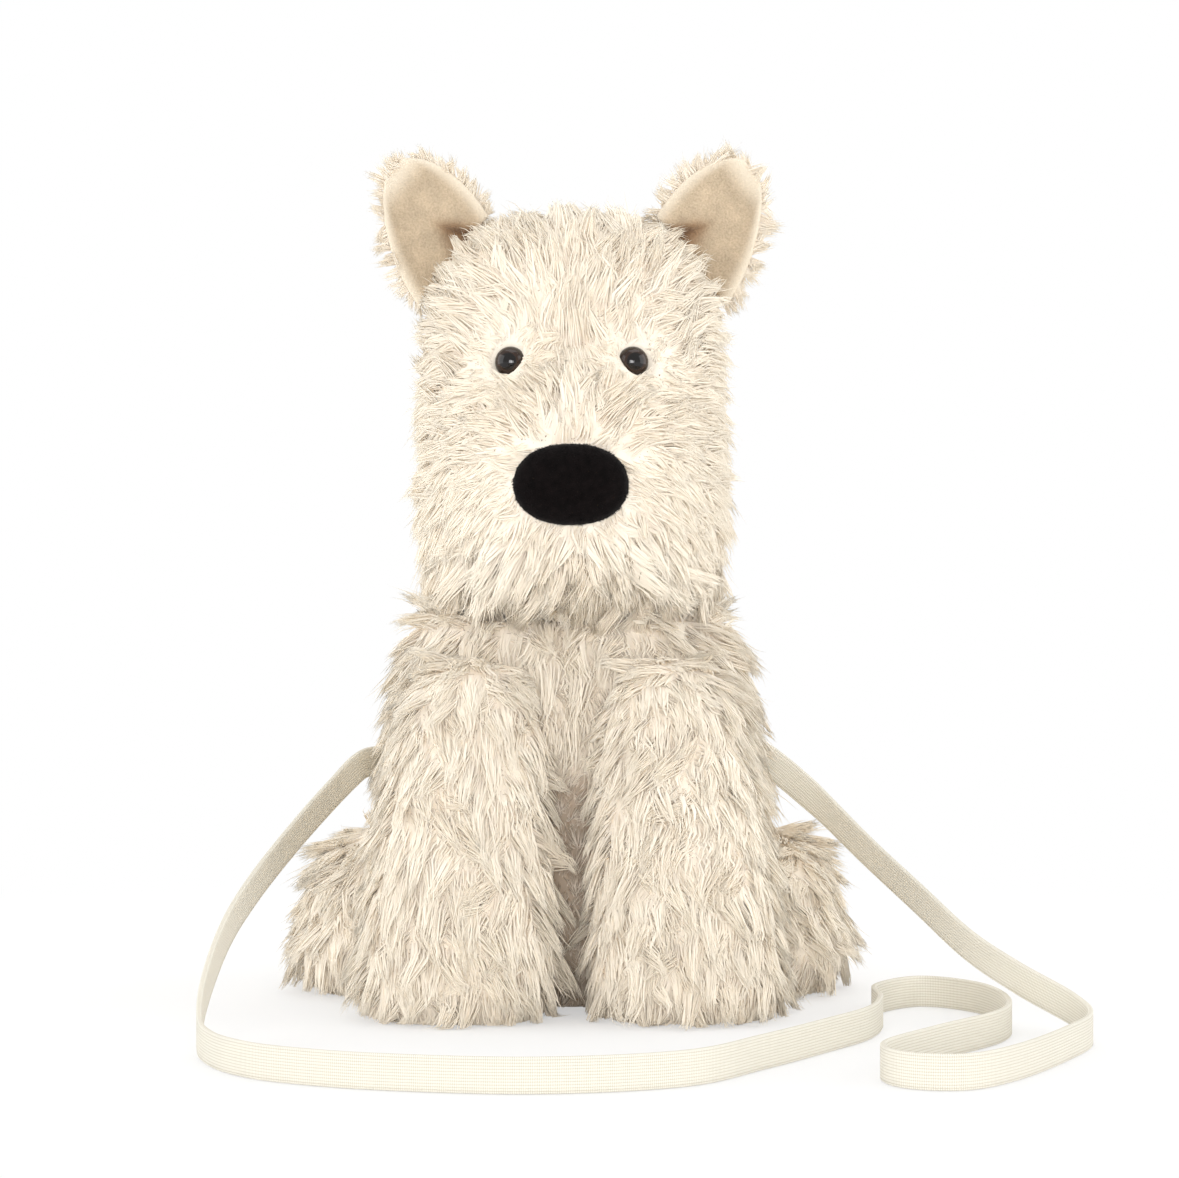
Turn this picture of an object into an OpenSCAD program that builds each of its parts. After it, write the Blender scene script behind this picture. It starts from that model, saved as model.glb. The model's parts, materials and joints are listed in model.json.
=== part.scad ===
// Sitting plush terrier that is also a small shoulder bag: stuffed cloth forms, button eyes,
// a zipped back pocket and a webbing strap. Millimetres, +Z up, the dog looks along -Y.

/* [Cloth] */
// Thickness of the pile fabric that covers each stuffed piece
cover_t = 4; // [3:0.5:5]
// Thickness of the plain panels under the seat and the paws
panel_t = 2.5; // [2:0.5:4]
// Play between a stuffing and its cover
fill_gap = 0.3; // [0.2:0.1:0.5]
// Room between stuffed pieces that move against each other
seam_gap = 0.9; // [0.7:0.1:1.4]

/* [Torso] */
// Height of the torso from the floor to its neck rim
torso_h = 126; // [118:1:134]
// Width of the flat seat
seat_w = 104; // [94:1:112]
// Depth of the flat seat
seat_d = 96; // [88:1:104]
// Distance of the seat's centre behind the origin
seat_y = 8; // [4:1:12]
// Height at which the rounded lower edge ends
edge_z = 13; // [10:1:16]
// Width at the hips
hip_w = 132; // [122:1:140]
// Depth at the hips
hip_d = 120; // [112:1:126]
// Height of the hips
hip_z = 38; // [32:1:44]
// Width at the shoulders
shoulder_w = 118; // [110:1:124]
// Depth at the shoulders
shoulder_d = 100; // [94:1:106]
// Height of the shoulders
shoulder_z = 100; // [94:1:106]
// Width of the neck rim
neck_w = 100; // [92:1:106]
// Depth of the neck rim
neck_d = 84; // [80:1:90]
// Where the straight line of the back meets the floor
back_y = 77; // [73:1:81]
// Forward lean of the back in degrees
back_lean = 15.6; // [13:0.2:18]

/* [Head] */
// Height of the head above its neck rim
head_h = 123; // [116:1:130]
// Width of the head at the cheeks
head_w = 96; // [88:1:104]
// Depth of the head at the cheeks
head_d = 96; // [88:1:104]
// Distance of the head's centre in front of the origin
head_y = 12; // [8:1:16]
// Width and depth of the head's neck rim
rim_w = 74; // [70:1:80]
// Height above the rim where the cheeks are full
cheek_z = 30; // [26:1:36]
// Height above the rim where the crown starts to round off
crown_z = 86; // [80:1:92]
// Width of the muzzle
muzzle_w = 76; // [68:1:84]
// Height of the muzzle
muzzle_h = 62; // [56:1:68]
// Height of the muzzle's middle above the rim
muzzle_z = 32; // [29:1:36]
// How far the flat nose seat stands in front of the origin
nose_seat = 91; // [87:1:95]
// Radius of the round neck stuffing
neck_ball_r = 32; // [29:0.5:33]
// Room between the torso's rim and the head's rim
rim_gap = 10; // [9:0.5:12]
// Height of the neck pivot above the torso's rim
neck_rise = 4; // [3:0.5:6]
// Distance of the neck's axis from the origin
neck_y = 0; // [-2:0.5:3]

/* [Face] */
// Diameter of an eye
eye_d = 10; // [9:0.5:12]
// Height of an eye's dome
eye_h = 4.4; // [3.6:0.2:5]
// Distance of an eye from the middle
eye_x = 21.4; // [19:0.2:24]
// Height of an eye above the head's rim
eye_z = 72.5; // [68:0.5:77]
// Outward turn of an eye in degrees
eye_turn = 12; // [6:1:18]
// Depth of the hollow that an eye sits in
eye_sink = 1.5; // [1:0.1:1.8]
// Diameter of an eye's shank
shank_d = 3.2; // [2.6:0.2:4]
// Length of an eye's shank
shank_l = 9; // [8:0.5:12]
// Cloth held between an eye and its washer
eye_grip = 1.8; // [1.4:0.1:2]
// Diameter of an eye washer
washer_d = 10.4; // [9:0.2:12]
// Thickness of an eye washer
washer_t = 1.6; // [1:0.2:2]
// Width of the nose
nose_w = 36; // [32:1:40]
// Height of the nose
nose_h = 25.6; // [22:0.2:28]
// Thickness of the stuffed nose
nose_t = 9; // [7:0.5:11]

/* [Ears] */
// Width of an ear at its root
ear_w = 38; // [34:1:42]
// Length of an ear
ear_l = 35; // [30:1:39]
// Width of the rounded tip
ear_tip_w = 7; // [5:0.5:9]
// Inward lean of the tip
ear_lean = 12; // [8:1:15]
// Depth of the ear's cupped front
ear_cup = 7; // [4:0.5:10]
// Thickness of the ear's pile back
ear_back_t = 2.6; // [2:0.2:3.4]
// Thickness of the ear's short lining
ear_lining_t = 1.4; // [1:0.1:2]
// Border of the back that shows round the lining
ear_border = 2; // [1:0.5:3]
// Place of the ear root on the rounded crown, 0 at its side and 90 on top
ear_at = 34; // [30:1:40]

/* [Front legs] */
// Height of a front leg
leg_h = 113.9; // [108:0.1:118]
// Distance of a front leg from the middle at the paw
leg_x = 36.2; // [34:0.1:39]
// Distance of a front leg from the middle at the shoulder
leg_top_x = 32; // [30:0.5:35]
// Width and depth of a paw
paw_w = 60; // [54:1:63]
// Width and depth of a paw's flat sole
sole_w = 50; // [44:1:52]
// Height of a paw's fullest part
paw_z = 12; // [10:1:15]
// How far the front of a paw stands in front of the origin
paw_front = 84.3; // [80:0.1:88]
// Width and depth of the leg at its upper end
upper_w = 46; // [42:1:50]
// Height of the leg's upper end, where it rounds off
upper_z = 89.7; // [84:0.1:94]
// How far the front of the upper leg stands in front of the origin
upper_front = 68.8; // [66:0.1:72]

/* [Hind legs] */
// Height of a hind leg
hind_h = 54.9; // [48:0.1:60]
// Distance of a hind leg's outer side from the middle
hind_out = 92.7; // [88:0.1:98]
// Width of a hind leg
hind_w = 56; // [50:1:62]
// Length of a hind leg
hind_l = 79.8; // [74:0.1:84]
// Distance of a hind leg's middle behind the origin
hind_y = 14.8; // [13:0.1:18]
// Width of a hind leg's flat sole
hind_sole_w = 44; // [38:1:48]
// Length of a hind leg's flat sole
hind_sole_l = 66; // [60:1:72]
// Height of a hind leg's fullest part
hind_full_z = 16.2; // [12:0.1:20]
// Height where the thigh starts to round off
thigh_z = 30; // [26:1:34]

/* [Tail] */
// Radius of the tail's round root
tail_root_r = 10; // [8:0.5:12]
// Radius of the tail's tip
tail_tip_r = 5; // [4:0.5:6]
// Length from the root's centre to the tip's centre
tail_l = 22; // [18:1:26]
// Height of the tail's root
tail_z = 19; // [17:0.5:22]
// Rise of the tail above the level in degrees
tail_rise = 40; // [30:1:50]
// Thickness of the tail's pile fabric
tail_t = 3; // [2:0.5:3.5]
// Radius of the hole at the tail's sewn end
tail_hole_r = 4; // [3:0.5:5]

/* [Zip] */
// Length of the zip tape
zip_l = 72; // [64:1:74]
// Width of the whole zip
zip_w = 24; // [20:1:28]
// Height of the zip's middle up the back
zip_z = 86.8; // [84:0.1:89]
// Thickness of the zip tape
tape_t = 0.8; // [0.6:0.1:1.2]
// Gap between the two rows of teeth
teeth_gap = 1; // [0.8:0.1:1.4]
// Distance between two teeth
teeth_pitch = 2.4; // [2:0.2:3.2]
// Thickness of the teeth
teeth_t = 1.4; // [1:0.1:1.8]
// Depth of the flat that the zip lies on, below the round back
zip_sink = 2.15; // [1.8:0.05:2.6]
// Width of the slit in the back under the zip
slit_w = 9.6; // [8.8:0.2:11]
// Length of the slider
slider_l = 11; // [9:0.5:13]
// Width of the slider
slider_w = 8.4; // [7.6:0.2:8.6]
// Thickness of each slider plate
slider_t = 1.2; // [1:0.1:1.6]
// Height of the closed slider above the zip's middle
slider_at = 24; // [20:1:26]
// Length of the pull tab
pull_l = 20; // [16:1:24]
// Width of the pull tab
pull_w = 6.4; // [5.6:0.2:7.4]
// Thickness of the pull tab
pull_t = 1.6; // [1.2:0.1:2]
// Radius of the pull's hinge pin
pin_r = 0.9; // [0.7:0.05:1.1]
// Depth of the pocket at its lower end
pocket_d = 40; // [30:1:44]
// Depth of the pocket at its upper end
pocket_top_d = 8; // [6:1:9]
// Height of the pocket's deep lower part
pocket_deep_h = 24; // [18:1:28]
// Thickness of the pocket's cloth
pocket_t = 0.8; // [0.6:0.1:1.2]

/* [Strap] */
// Width of the webbing
strap_w = 10; // [8:0.5:12]
// Thickness of the webbing
strap_t = 1.6; // [1.2:0.1:2]
// Width of an anchor tab
tab_w = 13; // [12:0.5:15]
// Thickness of an anchor tab
tab_t = 2.8; // [2.4:0.1:3.4]
// Length of an anchor tab outside the cover
tab_out = 6; // [4:0.5:8]
// Length of an anchor tab sewn into the cover
tab_in = 4; // [3:0.5:5]
// Height of the anchor tabs
tab_z = 80.1; // [76:0.1:84]
// Distance of the anchor tabs behind the origin
tab_y = 20.1; // [16:0.1:24]

/* [Hidden] */

// The dog's own left is +X
left = 1;
right = -1;
// Roundness of the cross-sections: 2 is an ellipse, more is squarer
torso_sq = 2.3;
head_sq = 2.6;
leg_sq = 2.2;
crown_sq = 2.4;
// Sides of the large and the small forms
big_sides = 24;
small_sides = 16;
// A cut runs this far past the face that it opens
past = 1;
// Half size of a level slab that trims a form, larger than any form
slab_r = torso_h + head_h;
// Columns of a form's row: its height, its middle in x and y, its half width and depth
row_z = 0;
row_x = 1;
row_y = 2;
row_w = 3;
row_d = 4;
// Close play of a fixed piece in its slot or on its shank
close_fit = 0.1;
// Running play of the pull's pin, and of the neck's ball in its facetted hollows
pin_play = 0.2;
ball_play = 1;
round_fn = 24;

fur = [0.95, 0.91, 0.84];
wadding = [0.97, 0.97, 0.96];
velour = [0.03, 0.02, 0.02];
beige = [0.84, 0.75, 0.63];
webbing = [0.97, 0.96, 0.92];
plain_cloth = [0.90, 0.86, 0.78];
dark_gloss = [0.08, 0.05, 0.04];
metal = [0.72, 0.70, 0.66];

// A row is one level of a form: [height, centre x, centre y, half width, half depth]
function mix(a, b, share) = a + (b - a) * share;
function spline(p, q, r, s, t) =
    0.5 * (2 * q + (r - p) * t + (2 * p - 5 * q + 4 * r - s) * t * t
    + (3 * q - p - 3 * r + s) * t * t * t);
function smooth(rows, steps) =
    let (n = len(rows) - 1)
    [for (i = [0:n - 1], j = [0:steps - 1])
        spline(rows[max(i - 1, 0)], rows[i], rows[i + 1], rows[min(i + 2, n)], j / steps),
     rows[n]];

// Rounds a form off above its last row, up to a pole at the height top
function domed(rows, top, rings, sq) =
    let (r = rows[len(rows) - 1])
    concat(rows,
        [for (i = [1:rings]) let (a = 90 * i / (rings + 1))
            [mix(r[row_z], top, pow(sin(a), 2 / sq)), r[row_x], r[row_y],
             r[row_w] * pow(cos(a), 2 / sq), r[row_d] * pow(cos(a), 2 / sq)]],
        [[top, r[row_x], r[row_y], 0, 0]]);

// Ends a form flat at its last row
function flat_topped(rows) =
    let (r = rows[len(rows) - 1]) concat(rows, [[r[row_z], r[row_x], r[row_y], 0, 0]]);

// The same form, smaller by a wall all round and fitted between two heights
function inset(rows, wall, low, high) =
    let (n = len(rows) - 1,
         kx = 1 - wall / max([for (r = rows) r[row_w]]),
         ky = 1 - wall / max([for (r = rows) r[row_d]]),
         bottom = rows[0][row_z],
         k = (high - low) / (rows[n][row_z] - bottom))
    [for (r = rows)
        [low + (r[row_z] - bottom) * k, r[row_x], r[row_y], r[row_w] * kx, r[row_d] * ky]];

function grown(rows, by) =
    [for (r = rows) [r[row_z], r[row_x], r[row_y], r[row_w] == 0 ? 0 : r[row_w] + by,
                     r[row_d] == 0 ? 0 : r[row_d] + by]];

function bulge(c, sq) = sign(c) * pow(abs(c), 2 / sq);
function ring(row, sides, sq, turn = 0) =
    [for (i = [0:sides - 1]) let (a = 360 * (i + turn) / sides)
        [row[row_x] + row[row_w] * bulge(cos(a), sq), row[row_y] + row[row_d] * bulge(sin(a), sq),
         row[row_z]]];

// Triangles between two rings of points, the upper ring half a side ahead or not
function band(a, b, sides, ahead = false) =
    [for (i = [0:sides - 1], half = [0, 1]) let (j = (i + 1) % sides)
        half == 0 ? [a + i, b + i, ahead ? a + j : b + j]
        : ahead ? [a + j, b + i, b + j] : [a + i, b + j, a + j]];

// One closed form through rows that end in a pole, each point moved by fit. Every other ring is
// turned by half a side, so that no two facets lie in one plane
module form(rows, sides, sq, fit = function (p) p) {
    rings = len(rows) - 1;
    low = rows[0];
    top = rows[rings];
    points = concat(
        [for (j = [0:rings - 1]) for (p = ring(rows[j], sides, sq, (j % 2) / 2)) fit(p)],
        [[low[1], low[2], low[0]], fit([top[1], top[2], top[0]])]);
    foot = rings * sides;
    last = foot - sides;
    faces = concat(
        [for (j = [0:rings - 2]) each band(j * sides, (j + 1) * sides, sides, j % 2 == 0)],
        [for (i = [0:sides - 1]) [i, (i + 1) % sides, foot]],
        [for (i = [0:sides - 1]) [last + (i + 1) % sides, last + i, foot + 1]]);
    polyhedron(points, faces);
}

// Joins the cuts of its children into one faceted skin of unchanged size
module one_skin() resize([0, 0, 0]) children();

module mirrored(side) mirror([side == left ? 0 : 1, 0, 0]) children();

// Keeps what its children have between two heights
module trimmed(low, high) {
    intersection() {
        children();
        translate([-slab_r, -slab_r, low]) cube([2 * slab_r, 2 * slab_r, high - low]);
    }
}

// Torso: a swelling tube whose back is a straight line for the zip
function back_at(z) = back_y - z * tan(back_lean);
torso_waist = smooth([
    [0, 0, seat_y, seat_w / 2, seat_d / 2],
    [edge_z, 0, seat_y, mix(seat_w, hip_w, 0.75) / 2, mix(seat_d, hip_d, 0.8) / 2],
    [hip_z, 0, back_at(hip_z) - hip_d / 2, hip_w / 2, hip_d / 2],
    [shoulder_z, 0, back_at(shoulder_z) - shoulder_d / 2, shoulder_w / 2, shoulder_d / 2],
    [torso_h, 0, back_at(torso_h) - neck_d / 2, neck_w / 2, neck_d / 2]], 4);
torso_rows = flat_topped([for (r = torso_waist)
    [r[row_z], 0, r[row_z] < hip_z ? r[row_y] : back_at(r[row_z]) - r[row_d], r[row_w], r[row_d]]]);

function torso_at(z, column) = lookup(z, [for (r = torso_rows) if (r[row_w] > 0) [r[row_z], r[column]]]);
function torso_side(y, z) =
    let (q = min(abs(y - torso_at(z, row_y)) / torso_at(z, row_d), 1))
    torso_at(z, row_w) * pow(1 - pow(q, torso_sq), 1 / torso_sq);

module torso_form(by = 0) form(grown(torso_rows, by), big_sides, torso_sq);
module torso_inside(by) form(inset(torso_rows, by, -past, torso_h + past), big_sides, torso_sq);

// The zip's own frame: z up the back, y out of it, origin on the flat under the tape
module at_zip() {
    translate([0, back_at(zip_z), zip_z])
        rotate([back_lean, 0, 0])
            translate([0, -zip_sink, 0])
                children();
}

module torso_cover() {
    color(fur) one_skin() difference() {
        torso_form();
        torso_inside(cover_t);
        at_zip() {
            translate([-zip_w / 2 - close_fit, 0, -zip_l / 2 - close_fit])
                cube([zip_w + 2 * close_fit, 4 * zip_sink, zip_l + 2 * close_fit]);
            translate([-slit_w / 2, -2 * cover_t, -zip_l / 2 + slit_end])
                cube([slit_w, 3 * cover_t, zip_l - 2 * slit_end]);
        }
        for (side = [left, right]) at_tab(side) tab_body(close_fit);
    }
}

module torso_stuffing() {
    color(wadding) one_skin() difference() {
        trimmed(panel_t + fill_gap, torso_h) torso_inside(cover_t + fill_gap);
        neck_hollow();
        at_zip() pocket_wedge(-fill_gap, 2 * cover_t);
        for (side = [left, right]) at_tab(side) tab_body(fill_gap);
    }
}

// Flat panel that closes the hole in the bottom of a form
module bottom_panel(rows, wall, sides, sq) {
    flat = inset(rows, wall, 0, 1)[0];
    linear_extrude(panel_t)
        polygon([for (p = ring(flat, sides, sq)) [p[0], p[1]]]);
}

module seat_panel() {
    color(plain_cloth) bottom_panel(torso_rows, cover_t + fill_gap, big_sides, torso_sq);
}

// Zip: the slit stops short of the tape's ends, and the slider runs clear of what it meets
slit_end = 3;
slit_l = zip_l - 2 * slit_end;
slider_gap = 0.3;
pocket_top = -slider_t - 2 * slider_gap;

// Slim pouch that hangs inside the torso behind the slit, deepest at its lower end
module pocket_wedge(wall, reach) {
    low = -slit_l / 2 + wall;
    high = slit_l / 2 - wall;
    back = pocket_top - pocket_d + wall;
    rotate([90, 0, 90]) linear_extrude(slit_w - 2 * wall, center = true)
        polygon([[pocket_top + reach, low], [back, low], [back, low + pocket_deep_h],
                 [pocket_top - pocket_top_d + wall, high], [pocket_top + reach, high]]);
}

module pocket_lining() {
    color(plain_cloth) at_zip() difference() {
        pocket_wedge(close_fit, 0);
        pocket_wedge(close_fit + pocket_t, past);
    }
}

teeth_w = 2;
tape_edge = teeth_gap / 2 + teeth_w / 2;

module zip_tape() {
    color(plain_cloth) at_zip() for (side = [left, right]) mirrored(side)
        translate([tape_edge, 0, -zip_l / 2])
            cube([zip_w / 2 - tape_edge, tape_t, zip_l]);
}

teeth_count = floor((slit_l - 2 * teeth_pitch) / teeth_pitch);
teeth_l = teeth_count * teeth_pitch;

// One comb of teeth, standing on the edge of a tape
module zip_teeth() {
    comb = [for (i = [0:teeth_count - 1], c = [0:3])
        let (z = i * teeth_pitch + (c < 2 ? 0 : teeth_pitch / 2))
        [c == 0 || c == 3 ? teeth_w / 2 : 0, z]];
    color(plain_cloth) at_zip() for (side = [left, right]) mirrored(side)
        translate([teeth_gap / 2, tape_t + teeth_t, -teeth_l / 2]) rotate([90, 0, 0])
            linear_extrude(teeth_t)
                polygon(concat(comb, [[teeth_w / 2, teeth_l], [teeth_w, teeth_l], [teeth_w, 0]]));
}

stop_l = 2;

module zip_stops() {
    color(metal) at_zip() {
        translate([-tape_edge - teeth_w, tape_t, -teeth_l / 2 - stop_l])
            cube([2 * (tape_edge + teeth_w), teeth_t, stop_l]);
        for (side = [left, right]) mirrored(side)
            translate([tape_edge, tape_t, teeth_l / 2])
                cube([teeth_w, teeth_t, stop_l]);
    }
}

slider_deck = tape_t + teeth_t + slider_gap;
bridge_w = 2.4;
bridge_l = 4.4;
bridge_h = 3.6;
// The pin's axis lies this far below the bridge's top
pin_drop = 1.8;
pin_up = slider_deck + slider_t + bridge_h - pin_drop;
// Post between the slider's plates, set in from its upper end
post_l = 3;
post_in = 1;

module zip_slider() {
    color(metal) at_zip() translate([0, 0, slider_at]) difference() {
        union() {
            translate([-slider_w / 2, slider_deck, -slider_l / 2])
                cube([slider_w, slider_t, slider_l]);
            translate([-slider_w / 2, -slider_t - slider_gap, -slider_l / 2])
                cube([slider_w, slider_t, slider_l]);
            translate([(slider_gap - teeth_gap) / 2, -slider_gap, slider_l / 2 - post_l - post_in])
                cube([teeth_gap - slider_gap, slider_deck + slider_gap, post_l]);
            translate([-bridge_w / 2, slider_deck + slider_t, -bridge_l / 2])
                cube([bridge_w, bridge_h, bridge_l]);
        }
        translate([0, pin_up, 0]) rotate([0, 90, 0])
            cylinder(r = pin_r + pin_play, h = 2 * bridge_w, center = true, $fn = round_fn);
    }
}

pull_cheek_gap = 0.3;
pull_reach = 3.4;
// A cheek is this much rounder than the tab where it holds the pin
cheek_rim = 0.5;

// Tab with two cheeks and a pin through the slider's bridge, hanging down
module zip_pull() {
    cheek_w = (pull_w - bridge_w) / 2 - pull_cheek_gap;
    color(metal) at_zip() translate([0, pin_up, slider_at]) union() {
        rotate([0, 90, 0]) cylinder(r = pin_r, h = pull_w, center = true, $fn = round_fn);
        for (side = [left, right]) mirrored(side)
            translate([pull_w / 2 - cheek_w, -pull_t / 2, -pull_reach - pull_t]) {
                cube([cheek_w, pull_t, pull_reach + pull_t]);
                translate([0, pull_t / 2, pull_reach + pull_t]) rotate([0, 90, 0])
                    cylinder(r = pull_t / 2 + cheek_rim, h = cheek_w, $fn = round_fn);
            }
        translate([-pull_w / 2, -pull_t / 2, -pull_l])
            cube([pull_w, pull_t, pull_l - pull_reach]);
    }
}

// Strap: anchor tabs on the sides, and the webbing between them
function unit(v) = v / norm(v);
tab_heading = [0.85, -0.42, -0.32];
function tab_way(side) = unit([side * tab_heading[0], tab_heading[1], tab_heading[2]]);
function tab_root(side) = [side * torso_side(tab_y, tab_z), tab_y, tab_z];
function edge_up(t) = unit([0, 0, 1] - t[2] * t);

// Children's z runs along t, and their y is the upright edge of a strap
module along(p, t) {
    w = edge_up(t);
    n = cross(w, t);
    multmatrix([for (i = [0:2]) [n[i], w[i], t[i], p[i]]]) children();
}

module at_tab(side) along(tab_root(side), tab_way(side)) children();

module tab_body(by) {
    translate([-tab_t / 2 - by, -tab_w / 2 - by, -tab_in - by])
        cube([tab_t + 2 * by, tab_w + 2 * by, tab_in + tab_out + by]);
}

module left_strap_tab() color(webbing) at_tab(left) tab_body(0);
module right_strap_tab() color(webbing) at_tab(right) tab_body(0);

// The strap lies on its edge on the floor, so its middle is half its width up
floor_z = 5.2;
route_right = [
    [-72, 7, 76], [-79, -4, 69], [-90, -30, 56], [-100, -64, 42], [-106, -92, 30],
    [-109, -118, 16], [-108, -138, 7]];
route_floor = [for (p = [
    [-103, -155], [-93, -173], [-78, -186], [-50, -198], [-8, -204], [32, -192], [55, -163],
    [76, -131], [90, -107], [96, -82], [97, -56], [113, -37], [130, -52], [135, -82],
    [129, -113], [106, -146], [88, -175], [91, -194], [108, -198], [125, -180], [144, -146],
    [155, -118]]) [p[0], p[1], floor_z]];
route_left = [
    [153, -99, 8], [139, -80, 15], [126, -60, 23], [113, -35, 35], [99, -9, 48],
    [86, 9, 61], [76, 15, 70]];
tab_lead = 3;
route = concat(
    [for (d = [tab_out, tab_out + tab_lead]) tab_root(right) + d * tab_way(right)],
    route_right, route_floor, route_left,
    [for (d = [tab_out + tab_lead, tab_out]) tab_root(left) + d * tab_way(left)]);
strap_path = smooth(route, 2);

module strap_webbing() {
    n = len(strap_path);
    corners = [[1, 1], [-1, 1], [-1, -1], [1, -1]];
    points = [for (i = [0:n - 1])
        let (t = i == 0 ? tab_way(right) : i == n - 1 ? -tab_way(left)
                 : unit(strap_path[i + 1] - strap_path[i - 1]),
             w = edge_up(t),
             flat = cross(w, t))
        for (c = corners) strap_path[i] + c[0] * strap_t / 2 * flat + c[1] * strap_w / 2 * w];
    last = 4 * (n - 1);
    faces = concat(
        [for (i = [0:n - 2]) each band(4 * i, 4 * i + 4, 4)],
        [[0, 1, 2], [0, 2, 3], [last + 2, last + 1, last], [last + 3, last + 2, last]]);
    color(webbing) polyhedron(points, faces);
}

// Neck: a round stuffing that the head turns and nods on
neck_pivot = [0, neck_y, torso_h + neck_rise];
head_z = torso_h + rim_gap;

module neck_hollow() translate(neck_pivot) sphere(neck_ball_r + ball_play, $fn = round_fn);
module neck_stuffing() color(wadding) translate(neck_pivot) sphere(neck_ball_r, $fn = round_fn);

// Head: a boxy swelling form with a broad muzzle and a flat seat for the nose
jaw_z = 6;
// How far the jaw has swelled from the rim to the cheeks
jaw_swell = 0.62;
// The crown is this much narrower, shallower and further back than the cheeks
crown_in = 2;
crown_flat = 3;
crown_back = 2;
crown_w = head_w / 2 - crown_in;
crown_y = crown_back - head_y;
head_block = smooth([
    [head_z, 0, neck_y, rim_w / 2, rim_w / 2],
    [head_z + jaw_z, 0, (neck_y - head_y) / 2,
     mix(rim_w, head_w, jaw_swell) / 2, mix(rim_w, head_d, jaw_swell) / 2],
    [head_z + cheek_z, 0, -head_y, head_w / 2, head_d / 2],
    [head_z + crown_z, 0, crown_y, crown_w, head_d / 2 - crown_flat]], 4);
head_top = head_z + head_h;
head_rows = domed(head_block, head_top, 4, crown_sq);

function head_at(z, column) = lookup(z, [for (r = head_rows) [r[row_z], r[column]]]);
function muzzle(p, wall) =
    exp(-pow(abs(p[0]) / (muzzle_w / 2 - wall), 4)
        - pow(abs(p[2] - head_z - muzzle_z) / (muzzle_h / 2 - wall), 4));
// The muzzle is pushed this far beyond its seat, which then flattens it
muzzle_over = 5;
muzzle_push = nose_seat - head_y - head_d / 2 + muzzle_over;
function with_muzzle(wall) = function (p)
    p[1] > -head_y ? p
    : [p[0], max(p[1] - muzzle_push * muzzle(p, wall), -nose_seat + wall), p[2]];
function head_front(x, z) =
    let (q = abs(x) / head_at(z, row_w),
         y = head_at(z, row_y) - head_at(z, row_d) * pow(1 - pow(q, head_sq), 1 / head_sq))
    with_muzzle(0)([x, y, z])[1];

module head_inside(by) {
    form(inset(head_rows, by, head_z - past, head_top - by), big_sides, head_sq, with_muzzle(by));
}

// An eye's own frame: z out of the face, origin on the flat that the eye sits on
module at_eye(side) {
    translate([side * eye_x, head_front(eye_x, head_z + eye_z), head_z + eye_z])
        rotate([90, 0, side * eye_turn])
            translate([0, 0, -eye_sink])
                children();
}

module head_cover() {
    color(fur) one_skin() difference() {
        form(head_rows, big_sides, head_sq, with_muzzle(0));
        head_inside(cover_t);
        for (side = [left, right]) at_eye(side) {
            cylinder(d = eye_d + 2 * fill_gap, h = 2 * eye_h, $fn = round_fn);
            translate([0, 0, -shank_l])
                cylinder(d = shank_d + 2 * fill_gap, h = 2 * shank_l, $fn = round_fn);
            translate([0, 0, -eye_grip - shank_l])
                cylinder(d = washer_d + 2 * fill_gap, h = shank_l, $fn = round_fn);
        }
    }
}

module head_stuffing() {
    color(wadding) one_skin() difference() {
        trimmed(head_z, head_top) head_inside(cover_t + fill_gap);
        neck_hollow();
        for (side = [left, right]) at_eye(side)
            translate([0, 0, -shank_l - fill_gap])
                cylinder(d = washer_d + 2 * fill_gap, h = 2 * shank_l, $fn = round_fn);
    }
}

// Domed button on a shank
module eye() {
    arc = [for (a = [0:9:90]) [eye_d / 2 * cos(a), eye_h * sin(a)]];
    color(dark_gloss) rotate_extrude($fn = round_fn)
        polygon(concat(arc, [[0, -shank_l], [shank_d / 2, -shank_l], [shank_d / 2, 0]]));
}

module eye_washer() {
    color(wadding) translate([0, 0, -eye_grip - washer_t]) difference() {
        cylinder(d = washer_d, h = washer_t, $fn = round_fn);
        translate([0, 0, -past])
            cylinder(d = shank_d + 2 * close_fit, h = washer_t + 2 * past, $fn = round_fn);
    }
}

module left_eye() at_eye(left) eye();
module right_eye() at_eye(right) eye();
module left_eye_washer() at_eye(left) eye_washer();
module right_eye_washer() at_eye(right) eye_washer();

// Stuffed velour oval on the muzzle's flat seat, drawn in a little at its sewn rim
nose_rim = 1;
nose_full_z = 3;

module nose_pad() {
    rows = domed([[0, 0, 0, nose_w / 2 - nose_rim, nose_h / 2 - nose_rim],
                  [nose_full_z, 0, 0, nose_w / 2, nose_h / 2]], nose_t, 3, 2);
    color(velour) translate([0, -nose_seat - fill_gap, head_z + muzzle_z]) rotate([90, 0, 0])
        form(rows, big_sides, leg_sq);
}

// Ears: cupped leaves whose root line just touches the rounded crown
crown_h = head_h - crown_z;
ear_seat = [crown_w * pow(cos(ear_at), 2 / crown_sq), crown_h * pow(sin(ear_at), 2 / crown_sq)];
// The facets of the crown lie this far inside its true curve
ear_settle = 0.3;
ear_slope = atan2(pow(ear_seat[0] / crown_w, crown_sq - 1) / crown_w,
                  pow(ear_seat[1] / crown_h, crown_sq - 1) / crown_h);
// The sewn root is pinched thin and stands clear of the crown when the ear folds
ear_pinch = 0.3;
ear_stand = ear_back_t / 2 * ear_pinch + fill_gap - ear_settle;
ear_grid = 5;
// Fullness of the ear's sides and of its tip
ear_side_curve = 2.4;
ear_tip_curve = 0.8;
// Share of the cup that is left at the root
ear_root_cup = 0.4;

module at_ear(side) {
    mirrored(side)
        translate([ear_seat[0], crown_y, head_z + crown_z + ear_seat[1]])
            rotate([0, ear_slope, 0])
                translate([0, 0, ear_stand])
                    children();
}

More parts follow.
